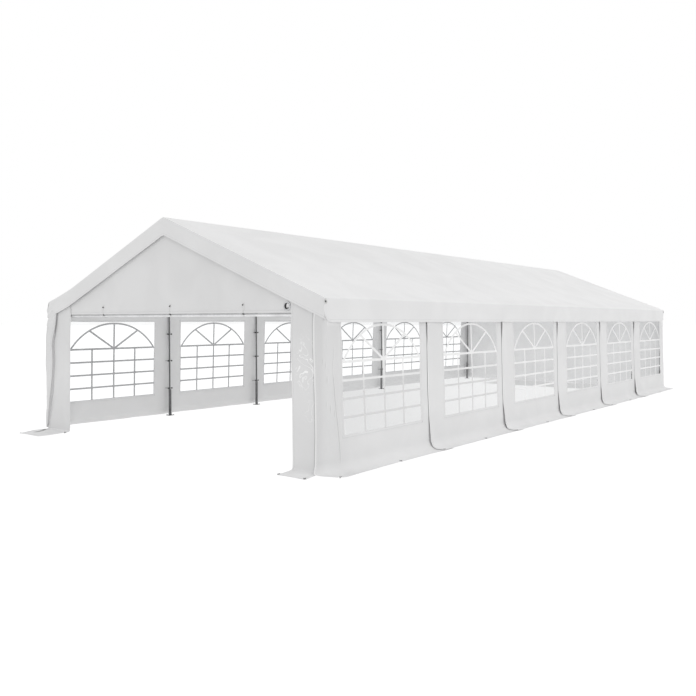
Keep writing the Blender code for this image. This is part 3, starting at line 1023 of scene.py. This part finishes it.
def bar_material(name, colour, foot=1.0):
    """Smooth soft plastic strip, with painted shade low down near the front. Foot is how much of the colour
    is left there.
    """
    material, tree, shader = new_material(name, colour, 0.35)
    place = node(tree, "TexCoord").outputs["Object"]
    grain = pattern(tree, "Noise", place, Scale=40.0, Detail=4.0)
    shade = tuple(0.93 * part for part in colour)
    axes = parts_of(tree, place)
    painted_low_shade = map_range(tree, axes["Y"], -2.4, -1.6, foot, 1.0)
    toned = node(tree, "VectorMath", operation="SCALE")
    tree.links.new(ramp(tree, grain, 0.3, 0.7, shade, colour), toned.inputs[0])
    tree.links.new(map_range(tree, axes["Z"], 0.80, 0.98, painted_low_shade, 1.0), toned.inputs["Scale"])
    tree.links.new(toned.outputs["Vector"], shader.inputs["Base Color"])
    tree.links.new(ramp(tree, grain, 0.3, 0.7, 0.3, 0.42), shader.inputs["Roughness"])
    tree.links.new(bump(tree, grain, 0.1, 0.0005), shader.inputs["Normal"])
    return material


window_film = film_material()
# Painted shade: the bars' faces are darker low down in the windows nearest the open front.
bar_face = bar_material("window_bar_face", (0.97, 0.97, 0.97), foot=0.78)
bar_back = bar_material("window_bar_back", (0.50, 0.50, 0.51))
lattice = make_lattice()
pane_margin = 0.010
pane_behind = 0.0013
film_thickness = 0.0006
bar_thickness = 0.0012


def add_window(side, number):
    word = "right" if side > 0 else "left"
    left, right = window_span(number)
    front, rear = panel_ends(number)

    def on_wall(y, s, behind):
        proud = sheet_mid + wall_push(side, y, s) + panel_step(number, y, front, rear) - behind
        return wall_point(side, y, s, proud)

    columns = lines((left - pane_margin, left, 1), (left, right, 30), (right, right + pane_margin, 1))
    low, high = up_at(window_bottom), up_at(window_top)
    rows = lines((low - pane_margin, low, 1), (low, high, 24), (high, high + pane_margin, 1))
    pane, _, _ = grid_sheet(
        f"window_pane_{word}_{number}", columns, rows,
        lambda y, s: on_wall(y, s, pane_behind), lambda y, s: y * 0 + 1, window_film,
    )
    give_thickness(pane, film_thickness, flip=side < 0)
    bars = lattice.copy()
    bars.data = lattice.data.copy()
    bars.name = bars.data.name = f"window_bars_{word}_{number}"
    bpy.context.scene.collection.objects.link(bars)
    flat = np.empty(len(bars.data.vertices) * 3)
    bars.data.vertices.foreach_get("co", flat)
    flat = flat.reshape(-1, 3)
    stretch = (right - left) / (2 * window_half)
    placed = on_wall((left + right) / 2 + flat[:, 0] * stretch, up_at(flat[:, 1]), 0.0)
    bars.data.vertices.foreach_set("co", np.column_stack(placed).ravel())
    bars.data.materials.clear()
    bars.data.materials.append(bar_face)
    bars.data.materials.append(bar_back)
    bars.data.update()
    give_thickness(bars, bar_thickness, flip=side < 0, inner_material=1)
    for piece in (pane, bars):
        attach(piece, "root")
        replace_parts(piece, f"window_film_{word}")


for number in range(1, bays + 1):
    for side in (1, -1):
        add_window(side, number)
bpy.data.objects.remove(lattice, do_unlink=True)

# The closed rear end and the two flaps beside the open front: hemmed sheets of the walls' cloth, tied
# to the corner posts inside the wrapped ends of the side walls. The rear wall has the side walls' lean
# and skirt. The flaps reach further over the ground, and the left one's foot is spread wide.
flap_step = 0.0023
end_half = half_width - 0.01
flap_inner = half_width - 0.42
seam_line = half_width - wrap - 0.019
# Painted light: the rear wall's inner face is a lighter copy of the walls' cloth.
rear_lining_lit = fabric_material("rear_wall_lining_lit", (0.94, 0.94, 0.942), 0.16, marks="lining_mark")


def end_section(up, reach, bend):
    """The line of an end sheet: the walls' one, with its own reach along the ground and its own bend."""
    flat = reach - wall_out - lean - bend
    turned = bend * math.pi / 2
    turn = np.clip((up - flat) / turned, 0, 1) * math.pi / 2
    slant = math.hypot(lean, lean_top - bend)
    share = np.clip((up - flat - turned) / slant, 0, 1)
    out = np.where(up < flat, reach - up, wall_out + lean + bend * (1 - np.sin(turn))) - lean * share
    z = bend * (1 - np.cos(turn)) + (lean_top - bend) * share + np.clip(up - flat - turned - slant, 0, None)
    return out, z, np.sin(turn), np.cos(turn)


# Where the painted shadow of the curl at the left flap's foot lies on the ground, seen from above.
foot_curl_shadow = [
    (-2.437, -6.372),
    (-2.463, -6.298),
    (-2.51, -6.227),
    (-2.566, -6.172),
    (-2.628, -6.122),
    (-2.731, -6.051),
]


def add_end_sheet(
    name, end, left, right, node_name, reach=skirt_reach, bend=foot_round, skew=(0.0, 0.0)
):
    """A flap is under a metre wide. Skew is how far its foot turns aside, at its inner and outer edge."""
    uneven = shade_at(6.0, 101 + int(10 * left))
    flat = reach - wall_out - lean - bend
    turned = bend * math.pi / 2
    slant = math.hypot(lean, lean_top - bend)
    height = flat + turned + slant + wall_top - lean_top
    flap = right - left < 1
    cells = 26 if flap else int((right - left) / 0.07)
    rumples = shade_at(60.0, 131 + int(10 * left))
    inner = [(left + hem + 0.001, right - hem - 0.001, cells)]
    if flap and left > 0:
        inner = [
            (left + hem + 0.001, seam_line - 0.014, 20),
            (seam_line - 0.014, seam_line + 0.062, 19),
            (seam_line + 0.062, right - hem - 0.001, 2),
        ]
    across = lines((left, left + hem - 0.001, 2), *inner, (right - hem + 0.001, right, 2))
    up = lines(
        (0, hem - 0.001, 2),
        (hem + 0.001, flat, 30 if flap and left < 0 else 6),
        (flat, flat + turned, 8),
        (flat + turned, flat + turned + slant, 70 if flap else 30),
        (flat + turned + slant, height, 4),
    )

    def edge(x, s):
        return np.minimum(np.minimum(x - left, right - x), s)

    def place(x, s):
        out, z, normal_out, normal_up = end_section(s, reach, bend)
        held = np.clip((end_half - np.abs(x)) / 0.15, 0, 1)
        free = rise(z, 0.10, 0.3) * fall(z, 1.6, 0.3)
        push = held * free * (0.004 + 0.004 * uneven(x, z))
        if flap and left > 0:
            patch = np.exp(-((z - 1.05) / 0.26) ** 2) + 0.7 * np.exp(-((z - 0.62) / 0.12) ** 2)
            push = push + 0.0017 * rumples(x, z) * patch * held
        low = fall(z, 0.16, 0.16) * np.clip(out / 0.12, 0, 1)
        push = push + held * low * (0.001 + 0.004 * np.abs(uneven(x * 2, s)))
        proud = sheet_mid + flap_step + push + 0.0009 * (edge(x, s) < hem)
        outer = np.clip((np.abs(x) - flap_inner) / (end_half - flap_inner), 0, 1) if flap else 0.0
        turn_aside = skew[0] + (skew[1] - skew[0]) * outer
        spread = turn_aside * fall(s, flat, flat) ** 0.6 * np.sign(x)
        pulled = (0.06 if left > 0 else 0.027) * flap
        drawn = pulled * fall(z, 1.6, 1.5) * np.clip((end_half - np.abs(x)) / 0.4, 0, 1)
        if flap and left < 0:
            spread_foot = np.clip((s - 0.15 * flat) / (0.5 * flat), 0, 1) * fall(z, 0.55, 0.5)
            drawn = drawn - 0.13 * outer ** 3 * spread_foot
        return x + spread + drawn, end * (post_lines[-1] + out + proud * normal_out), z + proud * normal_up

    def crumple(x, s):
        """The right flap is crumpled, with painted highlights on its kinks, at breast height and again lower
        down near its outer edge.
        """
        z = end_section(s, reach, bend)[1]
        high = np.exp(-((z - 1.12) / 0.2) ** 2)
        low = 0.8 * np.exp(-((z - 0.62) / 0.1) ** 2 - ((x - 2.38) / 0.08) ** 2)
        return (high + low) * (left > 0) * np.clip((x - flap_inner - 0.04) / 0.1, 0, 1)

    def mark(x, s):
        """Painted shadow: a dark line beside the right flap's seam, and a dark curl at the left flap's foot.
        """
        if not flap:
            return x * 0.0
        if left > 0:
            z = end_section(s, reach, bend)[1]
            seam = seam_line + 0.066 * fall(z, 1.5, 1.1) - 0.017 * fall(z, 1.6, 1.5)
            return -1.8 * np.exp(-((x - seam) / 0.007) ** 2) * np.clip(z / 0.04, 0.2, 1)
        total = x * 0.0
        at_x, at_y, _ = place(x, s)
        for (a, c), (b, d) in zip(foot_curl_shadow, foot_curl_shadow[1:]):
            run = (b - a) ** 2 + (d - c) ** 2
            share = np.clip(((at_x - a) * (b - a) + (at_y - c) * (d - c)) / run, 0, 1)
            apart = np.hypot(at_x - a - share * (b - a), at_y - c - share * (d - c))
            total = np.minimum(total, -4.4 * np.exp(-(apart / 0.021) ** 2))
        return total

    def lining_mark(x, s):
        """Painted shade: the rear wall's inner face gets darker towards the ground."""
        z = end_section(s, reach, bend)[1]
        return (-0.5 * fall(z, 0.12, 0.08) - 0.25 * fall(z, 0.8, 0.5)) * (not flap)

    piece, _, _ = grid_sheet(
        name, across, up, place, edge, wall_fabric, crumple=crumple, mark=mark, lining_mark=lining_mark
    )
    piece.data.materials.append(wall_lining_shaded if flap else rear_lining_lit)
    give_thickness(piece, flip=end > 0, inner_material=1)
    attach(piece, "root")
    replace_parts(piece, node_name)


add_end_sheet("rear_wall_cloth", 1, -end_half, end_half, "rear_wall")
right_reach = 0.38
left_reach = 0.57
flap_bend = 0.035
flaps = (
    ("right", flap_inner, end_half, right_reach, (0.05, 0.09)),
    ("left", -end_half, -flap_inner, left_reach, (-0.04, 0.07)),
)
for word, left, right, reach, skew in flaps:
    add_end_sheet(
        f"corner_flap_{word}_cloth", -1, left, right, f"corner_flap_{word}",
        reach, flap_bend, skew,
    )

# The round port on the front gable: a polished steel rim pressed onto the cloth round a short black
# rubber sleeve, which leads through the gable. The rim is the CAD ring, and the sleeve is turned.
port_steel = galvanised_material("port_steel", (0.62, 0.63, 0.65), (0.78, 0.79, 0.80))
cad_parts["gable_port_rim"].material_slots[0].material = port_steel
port_low, port_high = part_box("gable_port_rim")
port_middle = (port_low + port_high) / 2
port_bore = 0.036
sleeve_outside = port_bore + 0.0015
sleeve_inside = port_bore - 0.0035
sleeve_depth = 0.032


def rubber_material(name, colour):
    """Dull rubber or moulded plastic with a fine grain."""
    material, tree, shader = new_material(name, colour, 0.6)
    grain = pattern(tree, "Noise", node(tree, "TexCoord").outputs["Object"], Scale=160.0, Detail=3.0)
    tree.links.new(ramp(tree, grain, 0.3, 0.7, 0.5, 0.7), shader.inputs["Roughness"])
    tree.links.new(bump(tree, grain, 0.2, 0.0004), shader.inputs["Normal"])
    return material


black_rubber = rubber_material("black_rubber", (0.012, 0.012, 0.013))
select_only()
bpy.ops.mesh.primitive_circle_add(vertices=28, radius=sleeve_outside, location=(0, 0, 0))
sleeve = bpy.context.object
sleeve.name = sleeve.data.name = "gable_port_sleeve"
bpy.ops.object.mode_set(mode="EDIT")
bpy.ops.mesh.select_all(action="SELECT")
for radius, depth in ((sleeve_inside, 0.0), (sleeve_inside, sleeve_depth), (sleeve_outside, sleeve_depth)):
    bpy.ops.mesh.extrude_region_move()
    bpy.ops.mesh.select_mode(type="VERT")
    bpy.ops.object.mode_set(mode="OBJECT")
    for point in sleeve.data.vertices:
        if point.select:
            flat = Vector((point.co.x, point.co.y)).normalized() * radius
            point.co = (flat.x, flat.y, depth)
    bpy.ops.object.mode_set(mode="EDIT")
bpy.ops.mesh.select_all(action="SELECT")
bpy.ops.mesh.bridge_edge_loops()
bpy.ops.mesh.select_all(action="SELECT")
bpy.ops.mesh.normals_make_consistent(inside=False)
bpy.ops.object.mode_set(mode="OBJECT")
bpy.ops.object.shade_smooth_by_angle(angle=math.radians(40))
sleeve_place = Matrix.Translation((port_middle.x, port_low.y, port_middle.z))
sleeve.data.transform(sleeve_place @ Matrix.Rotation(-math.pi / 2, 4, "X"))
sleeve.data.materials.append(black_rubber)
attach(sleeve, "root")

# Eyelets: nickelled rings pressed into the cloth, each hole closed by a black disc of painted shade. They
# stand along the skirts, where the pegs go, and larger ones on the eave corners. Those above the gables' hems
# come with their ties.
eyelet_ring = 0.011
eyelet_hole = 0.0055
nickel = galvanised_material("eyelet_nickel", (0.66, 0.66, 0.65), (0.80, 0.80, 0.79))


def turned_piece(name, profile, sides, materials):
    """A piece turned about Z from its profile, (radius, height, material) from the rim inwards."""
    select_only()
    radius, height, _ = profile[0]
    bpy.ops.mesh.primitive_circle_add(vertices=sides, radius=radius, location=(0, 0, 0))
    piece = bpy.context.object
    piece.name = piece.data.name = name
    for material in materials:
        piece.data.materials.append(material)
    for point in piece.data.vertices:
        point.co.z = height
    bpy.ops.object.mode_set(mode="EDIT")
    bpy.ops.mesh.select_mode(type="VERT")
    bpy.ops.mesh.select_all(action="SELECT")
    for next_radius, next_height, material in profile[1:]:
        bpy.ops.mesh.extrude_region_move(TRANSFORM_OT_translate={"value": (0, 0, next_height - height)})
        scale = next_radius / radius
        bpy.ops.transform.resize(value=(scale, scale, 1))
        piece.active_material_index = material
        radius, height = next_radius, next_height
    bpy.ops.mesh.edge_face_add()
    bpy.ops.mesh.select_all(action="SELECT")
    bpy.ops.mesh.normals_make_consistent(inside=False)
    bpy.ops.object.mode_set(mode="OBJECT")
    bpy.ops.object.shade_smooth_by_angle(angle=math.radians(35))
    return piece


eyelet_profile = [
    (0.0095, 0.0, 0),
    (eyelet_ring, 0.0006, 0),
    (0.0095, 0.0021, 0),
    (0.0070, 0.0024, 0),
    (eyelet_hole, 0.0012, 0),
    (0.0045, 0.0008, 0),
]
eyelet = turned_piece("eyelet", eyelet_profile, 14, [nickel, black_rubber])
# Painted shade: the hole is closed by a black disc.
shaded_hole_disc = max(eyelet.data.polygons, key=lambda face: len(face.vertices) * face.area)
shaded_hole_disc.material_index = 1


def set_in_place(master, places, name):
    """Copies of the master at each place (a 4x4 matrix), joined into one piece."""
    copies = []
    for place in places:
        copy = master.copy()
        copy.data = master.data.copy()
        copy.data.transform(place)
        bpy.context.scene.collection.objects.link(copy)
        copies.append(copy)
    select_only(*copies)
    bpy.ops.object.join()
    joined = bpy.context.object
    joined.name = joined.data.name = name
    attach(joined, "root")
    return joined


def facing(point, way, spin=0.0):
    """The place of a piece that stands on a surface at the point, with its own Z along the way out."""
    turn = Vector(way).to_track_quat("Z", "Y").to_matrix().to_4x4()
    return Matrix.Translation(point) @ turn @ Matrix.Rotation(spin, 4, "Z")


def on_panel(side, number, along, up, above=0.0):
    """A point of the finished side wall, on its outer face, and the way out from it."""
    front, rear = panel_ends(number)
    first = post_lines[number - 1]

    def at(y, s):
        y, s = np.array([float(y)]), np.array([float(s)])
        lift = front_lift(number, y, front, s, side)
        shifted, swell = corner_shift(number, y, front, first, s, side)
        proud = sheet_mid + wall_push(side, shifted, s) + panel_step(number, shifted, front, rear) + lift
        x, y, z = wall_point(side, shifted, s, proud + 0.0015 + above, swell)
        return Vector((float(x[0]), float(y[0]), float(z[0])))

    point = at(along, up)
    way = (at(along + 0.004, up) - at(along - 0.004, up)).cross(at(along, up + 0.004) - at(along, up - 0.004))
    return point, way.normalized() * side


skirt_inset = 0.022
edge_inset = 0.03
right_corner_inset = 0.108
peg_spots = []
eyelet_spots = []
for side in (1, -1):
    for number in range(1, bays + 1):
        front, rear = panel_ends(number)
        middle = (post_lines[number - 1] + post_lines[number]) / 2
        inset = right_corner_inset if number == 1 and side > 0 else edge_inset
        for along in (front + inset, middle):
            point, way = on_panel(side, number, along, skirt_inset)
            eyelet_spots.append(facing(point, way))
            outward = Vector((side, 0, 0)) if number > 1 or along == middle else Vector((0, -1, 0))
            peg_spots.append((point, outward))
        if number == bays:
            point, way = on_panel(side, number, rear - edge_inset, skirt_inset)
            eyelet_spots.append(facing(point, way))
            peg_spots.append((point, Vector((0, 1, 0))))
for x in (-1.6, -0.8, 0.0, 0.8, 1.6):
    point = Vector((x, post_lines[-1] + skirt_reach - skirt_inset, 0.012))
    eyelet_spots.append(facing(point, (0, 0, 1)))
    peg_spots.append((point, Vector((0, 1, 0))))
flap_eyelets = (
    (flap_inner + 0.115, right_reach),
    (end_half + 0.055, right_reach),
    (-end_half - 0.03, left_reach),
    (-flap_inner + 0.03, 0.19),
)
for x, reach in flap_eyelets:
    point = Vector((x, post_lines[0] - reach + skirt_inset, 0.0105))
    eyelet_spots.append(facing(point, (0, 0, 1)))
    if x > -end_half + 0.1:
        peg_spots.append((point, Vector((0, -1, 0))))
large = Matrix.Diagonal((2.6, 2.6, 1.2, 1))
for side in (1, -1):
    for end in (1, -1):
        x, y, z = roof_place(np.array([end * (roof_end - 0.021)]), np.array([side * (slope_length + 0.05)]))
        place = Vector((float(x[0]) + side * 0.0022, float(y[0]), float(z[0])))
        eyelet_spots.append(facing(place, (side, 0, 0)) @ large)
set_in_place(eyelet, eyelet_spots, "eyelets")

# Ground pegs: 9 mm steel rods driven through the skirt's eyelets, each with its hook turned in over the
# cloth. Only the hook shows above the ground.
peg_radius = 0.0045
peg_bend = 0.012
peg_rise = 0.019
peg_steel = galvanised_material("peg_steel", (0.10, 0.10, 0.105), (0.17, 0.17, 0.175))
select_only()
bpy.ops.mesh.primitive_circle_add(vertices=10, radius=peg_radius, fill_type="NGON", location=(0, 0, 0))
peg = bpy.context.object
peg.name = peg.data.name = "peg"
bpy.ops.object.mode_set(mode="EDIT")
bpy.ops.mesh.select_mode(type="FACE")
bpy.ops.mesh.select_all(action="SELECT")
bpy.ops.mesh.extrude_region_move(TRANSFORM_OT_translate={"value": (0, 0, peg_rise)})
bpy.ops.mesh.spin(steps=8, angle=math.radians(165), center=(peg_bend, 0, peg_rise), axis=(0, 1, 0))
bpy.ops.mesh.extrude_region_move(TRANSFORM_OT_translate={"value": (0.001, 0, -0.004)})
bpy.ops.mesh.select_all(action="SELECT")
bpy.ops.mesh.remove_doubles(threshold=0.0002)
bpy.ops.mesh.normals_make_consistent(inside=False)
bpy.ops.object.mode_set(mode="OBJECT")
bpy.ops.object.shade_smooth_by_angle(angle=math.radians(60))
peg.data.materials.append(peg_steel)
peg_places = []
for point, outward in peg_spots:
    turn = math.atan2(-outward.y, -outward.x)
    peg_places.append(Matrix.Translation((point.x, point.y, 0.0)) @ Matrix.Rotation(turn, 4, "Z"))
set_in_place(peg, peg_places, "ground_pegs")

# Elastic ties: loops of black cord that hold the walls to the ten middle posts at three heights. Each
# is sewn to the wall on both sides of the post, goes round it, and has a moulded ball at each side.
tie_cord = 0.0028
ball_radius = 0.013
tie_ring = tube_radius + tie_cord + 0.0006
tie_turns = np.radians([300, 270, 235, 200, 180, 160, 125, 90, 60])
tie_spread = 0.046
moulded_black = rubber_material("moulded_black", (0.02, 0.02, 0.021))


def cord_piece(name, route, radius, material):
    """A mesh tube of round cord along the route."""
    curve = bpy.data.curves.new(name, "CURVE")
    curve.dimensions = "3D"
    curve.bevel_depth = radius
    curve.bevel_resolution = 2
    curve.use_fill_caps = True
    spline = curve.splines.new("POLY")
    spline.points.add(len(route) - 1)
    for point, place in zip(spline.points, route):
        point.co = (*place, 1.0)
    cord = bpy.data.objects.new(name, curve)
    bpy.context.scene.collection.objects.link(cord)
    select_only(cord)
    bpy.ops.object.convert(target="MESH")
    cord = bpy.context.object
    cord.data.materials.append(material)
    bpy.ops.object.shade_smooth()
    return cord


def smooth_route(points, count):
    """Evenly spread points on a smooth curve through the given ones."""
    points = np.array(points, dtype=float)
    ends = np.vstack((2 * points[0] - points[1], points, 2 * points[-1] - points[-2]))
    made = []
    for index in range(1, len(ends) - 2):
        a, b, c, d = ends[index - 1:index + 3]
        for share in np.linspace(0, 1, count, endpoint=False):
            bend = (2 * a - 5 * b + 4 * c - d) * share ** 2 + (3 * b - a - 3 * c + d) * share ** 3
            made.append(0.5 * (2 * b + (c - a) * share + bend))
    made.append(points[-1])
    return made


ball_turns = np.radians([-70, -45, -20, 5, 30, 52])
ball_profile = [(ball_radius * math.cos(turn), ball_radius * math.sin(turn), 0) for turn in ball_turns]
ball_profile += [(0.0048, 0.0094, 0), (0.0035, 0.0070, 0)]
ball = turned_piece("ball", ball_profile, 14, [moulded_black])
ball_places = []
tie_pieces = []
for side in (1, -1):
    for number, line in enumerate(post_lines[1:-1], 1):
        for height in tie_heights:
            wall_x = abs(on_panel(side, number, line, up_at(height), -0.0045)[0].x) - half_width
            route = [(wall_x, -tie_spread)]
            route += [(tie_ring * math.cos(turn), tie_ring * math.sin(turn)) for turn in tie_turns]
            route.append((wall_x, tie_spread))
            drop = 0.006 * math.sin(3 * number + 7 * height)
            points = [(side * (half_width + x), line + y, height + drop * (x < 0)) for x, y in route]
            tie_pieces.append(cord_piece("tie", smooth_route(points, 3), tie_cord, moulded_black))
            for turn in (-1, 1):
                aside = line + turn * (tie_ring + 0.012)
                place = Vector((side * (half_width - 0.006), aside, height + drop * 0.5))
                ball_places.append(facing(place, (-side, turn * 0.6, 0.1)))
select_only(*tie_pieces)
bpy.ops.object.join()
ties = bpy.context.object
ties.name = ties.data.name = "post_ties"
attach(ties, "root")
set_in_place(ball, ball_places, "tie_balls")

# The gable's three ties: white elastic from an eyelet above the hem, down round the tie bar and back,
# each caught by a small dark ball at its eyelet.
white_cord = rubber_material("white_cord", (0.80, 0.80, 0.79))
gable_tie_spots = (-1.30, 0.09, 1.36)
gable_ring = tube_radius + tie_cord + 0.0008
small = Matrix.Diagonal((0.62, 0.62, 0.8, 1))
gable_eyelets = []
gable_balls = []
gable_ties = []
for end in (-1, 1):
    face = end * (gable_out + 0.0035)
    bar_line = end * post_lines[-1]
    for x in gable_tie_spots:
        top = gable_bottom + 0.10
        sway = 0.02 * (x > 1)
        gable_eyelets.append(facing((x, face, top), (0, end, 0)))
        for place in (
            (x - 0.004, face + end * 0.006, top - 0.010),
            (x - 0.006, bar_line + end * 0.026, tie_axis + 0.012),
        ):
            gable_balls.append(facing(place, (0.3, end, 0.2)) @ small)
        route = [
            (x, face + end * 0.003, top - 0.004),
            (x - 0.006 + sway, face + end * 0.006, top - 0.045),
            (x - 0.012 + sway * 0.4, face + end * 0.003, gable_bottom + 0.012),
        ]
        for aside, out, above in (
            (0.014, 0.93, 0.6),
            (0.014, 1.0, 0.0),
            (0.013, 0.7, -0.75),
            (0.010, 0.0, -1.0),
            (0.006, -0.75, -0.7),
            (0.004, -1.0, 0.0),
            (0.002, -0.6, 1.1),
        ):
            route.append((x - aside, bar_line + end * gable_ring * out, tie_axis + gable_ring * above))
        route.append((x, end * (gable_out - 0.004), gable_bottom + 0.03))
        gable_ties.append(cord_piece("gable_tie", smooth_route(route, 4), tie_cord, white_cord))
select_only(*gable_ties)
bpy.ops.object.join()
gable_cords = bpy.context.object
gable_cords.name = gable_cords.data.name = "gable_ties"
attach(gable_cords, "root")
set_in_place(eyelet, gable_eyelets, "gable_eyelets")
set_in_place(ball, gable_balls, "gable_balls")

# Fixings of the frame: a dark sleeve stands round each post's foot, two hexagon bolts hold each base
# plate down, and one pins each tube in its fitting at the eaves.
foot_steel = galvanised_material("foot_steel", (0.16, 0.16, 0.165), (0.24, 0.24, 0.245))
plate_top = 0.004
collar_profile = [
    (0.0245, 0.0),
    (0.0245, 0.030),
    (0.0222, 0.033),
    (0.0222, 0.425),
    (0.0212, 0.428),
    (0.0193, 0.428),
]
select_only()
bpy.ops.mesh.primitive_circle_add(vertices=20, radius=collar_profile[0][0], location=(0, 0, 0))
collar = bpy.context.object
collar.name = collar.data.name = "foot_collar"
collar.data.materials.append(foot_steel)
bpy.ops.object.mode_set(mode="EDIT")
bpy.ops.mesh.select_mode(type="VERT")
bpy.ops.mesh.select_all(action="SELECT")
for (radius, height), (next_radius, next_height) in zip(collar_profile, collar_profile[1:]):
    bpy.ops.mesh.extrude_region_move(TRANSFORM_OT_translate={"value": (0, 0, next_height - height)})
    scale = next_radius / radius
    bpy.ops.transform.resize(value=(scale, scale, 1), center_override=(0, 0, next_height))
bpy.ops.mesh.select_all(action="SELECT")
bpy.ops.mesh.normals_make_consistent(inside=False)
bpy.ops.object.mode_set(mode="OBJECT")
bpy.ops.object.shade_smooth_by_angle(angle=math.radians(40))
collar_places = [
    Matrix.Translation((side * half_width, line, plate_top)) for side in (1, -1) for line in post_lines
]
set_in_place(collar, collar_places, "foot_collars")
bolt_steel = galvanised_material("bolt_steel", (0.22, 0.22, 0.225), (0.34, 0.34, 0.345))
bolt_profile = [
    (0.011, 0.0, 0),
    (0.011, 0.0016, 0),
    (0.0095, 0.0018, 0),
    (0.0095, 0.0075, 0),
    (0.0082, 0.0088, 0),
]
bolt = turned_piece("bolt", bolt_profile, 6, [bolt_steel])
fitting_face = 0.0222
bolt_step = 0.10
bolt_places = []
for side in (1, -1):
    for line in post_lines:
        for x, y in ((-0.036, -0.036), (0.036, 0.036)):
            bolt_places.append(facing((side * half_width + x, line + y, plate_top), (0, 0, 1)))
        inner = side * (half_width - fitting_face)
        bolt_places.append(facing((inner, line, eave_axis - bolt_step), (-side, 0, 0)))
        for offset in (-0.055, 0.055):
            if abs(line + offset) < post_lines[-1]:
                bolt_places.append(facing((inner, line + offset, eave_axis), (-side, 0, 0)))
        slant_x = half_width - bolt_step * math.cos(pitch)
        low = Vector((side * slant_x, line, eave_axis + bolt_step * math.sin(pitch)))
        down = Vector((-side * math.sin(pitch), 0, -math.cos(pitch)))
        bolt_places.append(facing(low + down * fitting_face, down))
set_in_place(bolt, bolt_places, "frame_bolts")
for master in (eyelet, peg, ball, bolt, collar):
    bpy.data.objects.remove(master, do_unlink=True)

# The studio: a plain white floor with a painted shadow that makes it greyer under the tent's roof, an even
# white surround and one soft light high on the right. The camera stands at the photograph's place, in front
# of the right corner.
select_only()
bpy.ops.mesh.primitive_plane_add(size=400)
floor = bpy.context.object
floor.name = "floor"
floor_material = bpy.data.materials.new("floor")
floor_material.use_nodes = True
floor_tree = floor_material.node_tree
floor_shader = floor_tree.nodes["Principled BSDF"]
floor_shader.inputs["Base Color"].default_value = (0.25, 0.25, 0.25, 1.0)
floor_shader.inputs["Roughness"].default_value = 1.0
floor_shader.inputs["Specular IOR Level"].default_value = 0.0
floor_shader.inputs["Emission Color"].default_value = (1.0, 1.0, 1.0, 1.0)
floor_place = node(floor_tree, "TexCoord").outputs["Object"]
floor_axes = parts_of(floor_tree, floor_place)
# Painted shadow: the floor's glow is lowered inside the tent, away from the part seen through the open front,
# and more near the closed rear end.
inside = calc(
    floor_tree, "MULTIPLY",
    calc(floor_tree, "COMPARE", floor_axes["X"], 0.0, 2.75),
    calc(floor_tree, "COMPARE", floor_axes["Y"], 0.09, 6.18),
)
deeper = along_way(floor_tree, floor_place, (0.765, 0.644, 0.0))
fading = map_range(floor_tree, deeper, -2.15, -1.55, 0.0, -0.29, "SMOOTHSTEP")
farther = map_range(floor_tree, deeper, -1.55, 1.2, 0.0, 0.11)
closed_end = map_range(floor_tree, floor_axes["Y"], 4.75, 4.95, 0.0, -0.27, "SMOOTHSTEP")
right_part = map_range(floor_tree, floor_axes["X"], -1.6, -1.2, 0.0, 1.0, "SMOOTHSTEP")
faded = calc(floor_tree, "ADD", fading, farther)
shaded = calc(floor_tree, "MULTIPLY_ADD", closed_end, right_part, faded)
floor_glow = calc(floor_tree, "MULTIPLY_ADD", shaded, inside, 0.90)
floor_tree.links.new(floor_glow, floor_shader.inputs["Emission Strength"])
floor.data.materials.append(floor_material)
floor.location.z = -0.001
floor.visible_diffuse = False

world = bpy.data.worlds.new("surround")
bpy.context.scene.world = world
world.use_nodes = True
world_tree = world.node_tree
world_out = world_tree.nodes["World Output"]
surround = world_tree.nodes["Background"]
surround.inputs["Color"].default_value = (1.0, 1.0, 1.0, 1.0)
direction = node(world_tree, "TexCoord").outputs["Generated"]
upward = parts_of(world_tree, direction)["Z"]
world_tree.links.new(map_range(world_tree, upward, -0.08, 0.08, 0.90, 0.69), surround.inputs["Strength"])
seen = node(world_tree, "Background", Color=(1.0, 1.0, 1.0, 1.0), Strength=1.0)
camera_ray = node(world_tree, "LightPath").outputs["Is Camera Ray"]
choose = node(world_tree, "MixShader")
world_tree.links.new(camera_ray, choose.inputs["Fac"])
world_tree.links.new(surround.outputs["Background"], choose.inputs[1])
world_tree.links.new(seen.outputs["Background"], choose.inputs[2])
world_tree.links.new(choose.outputs["Shader"], world_out.inputs["Surface"])

sun = bpy.data.lights.new("soft_light", "SUN")
sun.energy = 0.8
sun.angle = math.radians(60)
sun_object = bpy.data.objects.new("soft_light", sun)
sun_object.rotation_euler = Vector((0.45, -0.1, 1.0)).to_track_quat("Z", "Y").to_euler()
bpy.context.scene.collection.objects.link(sun_object)

image_side = 696
focal = 738.464
camera_data = bpy.data.cameras.new("camera")
camera_data.sensor_width = 36.0
camera_data.lens = focal / image_side * camera_data.sensor_width
camera_data.clip_end = 500.0
camera = bpy.data.objects.new("camera", camera_data)
camera.location = (7.33, -11.749, 1.561)
camera_yaw = -0.666
camera_pitch = -0.037
camera.rotation_euler = (math.pi / 2 + camera_pitch, 0.0, -camera_yaw)
bpy.context.scene.collection.objects.link(camera)
bpy.context.scene.camera = camera
bpy.context.scene.view_settings.view_transform = "Standard"
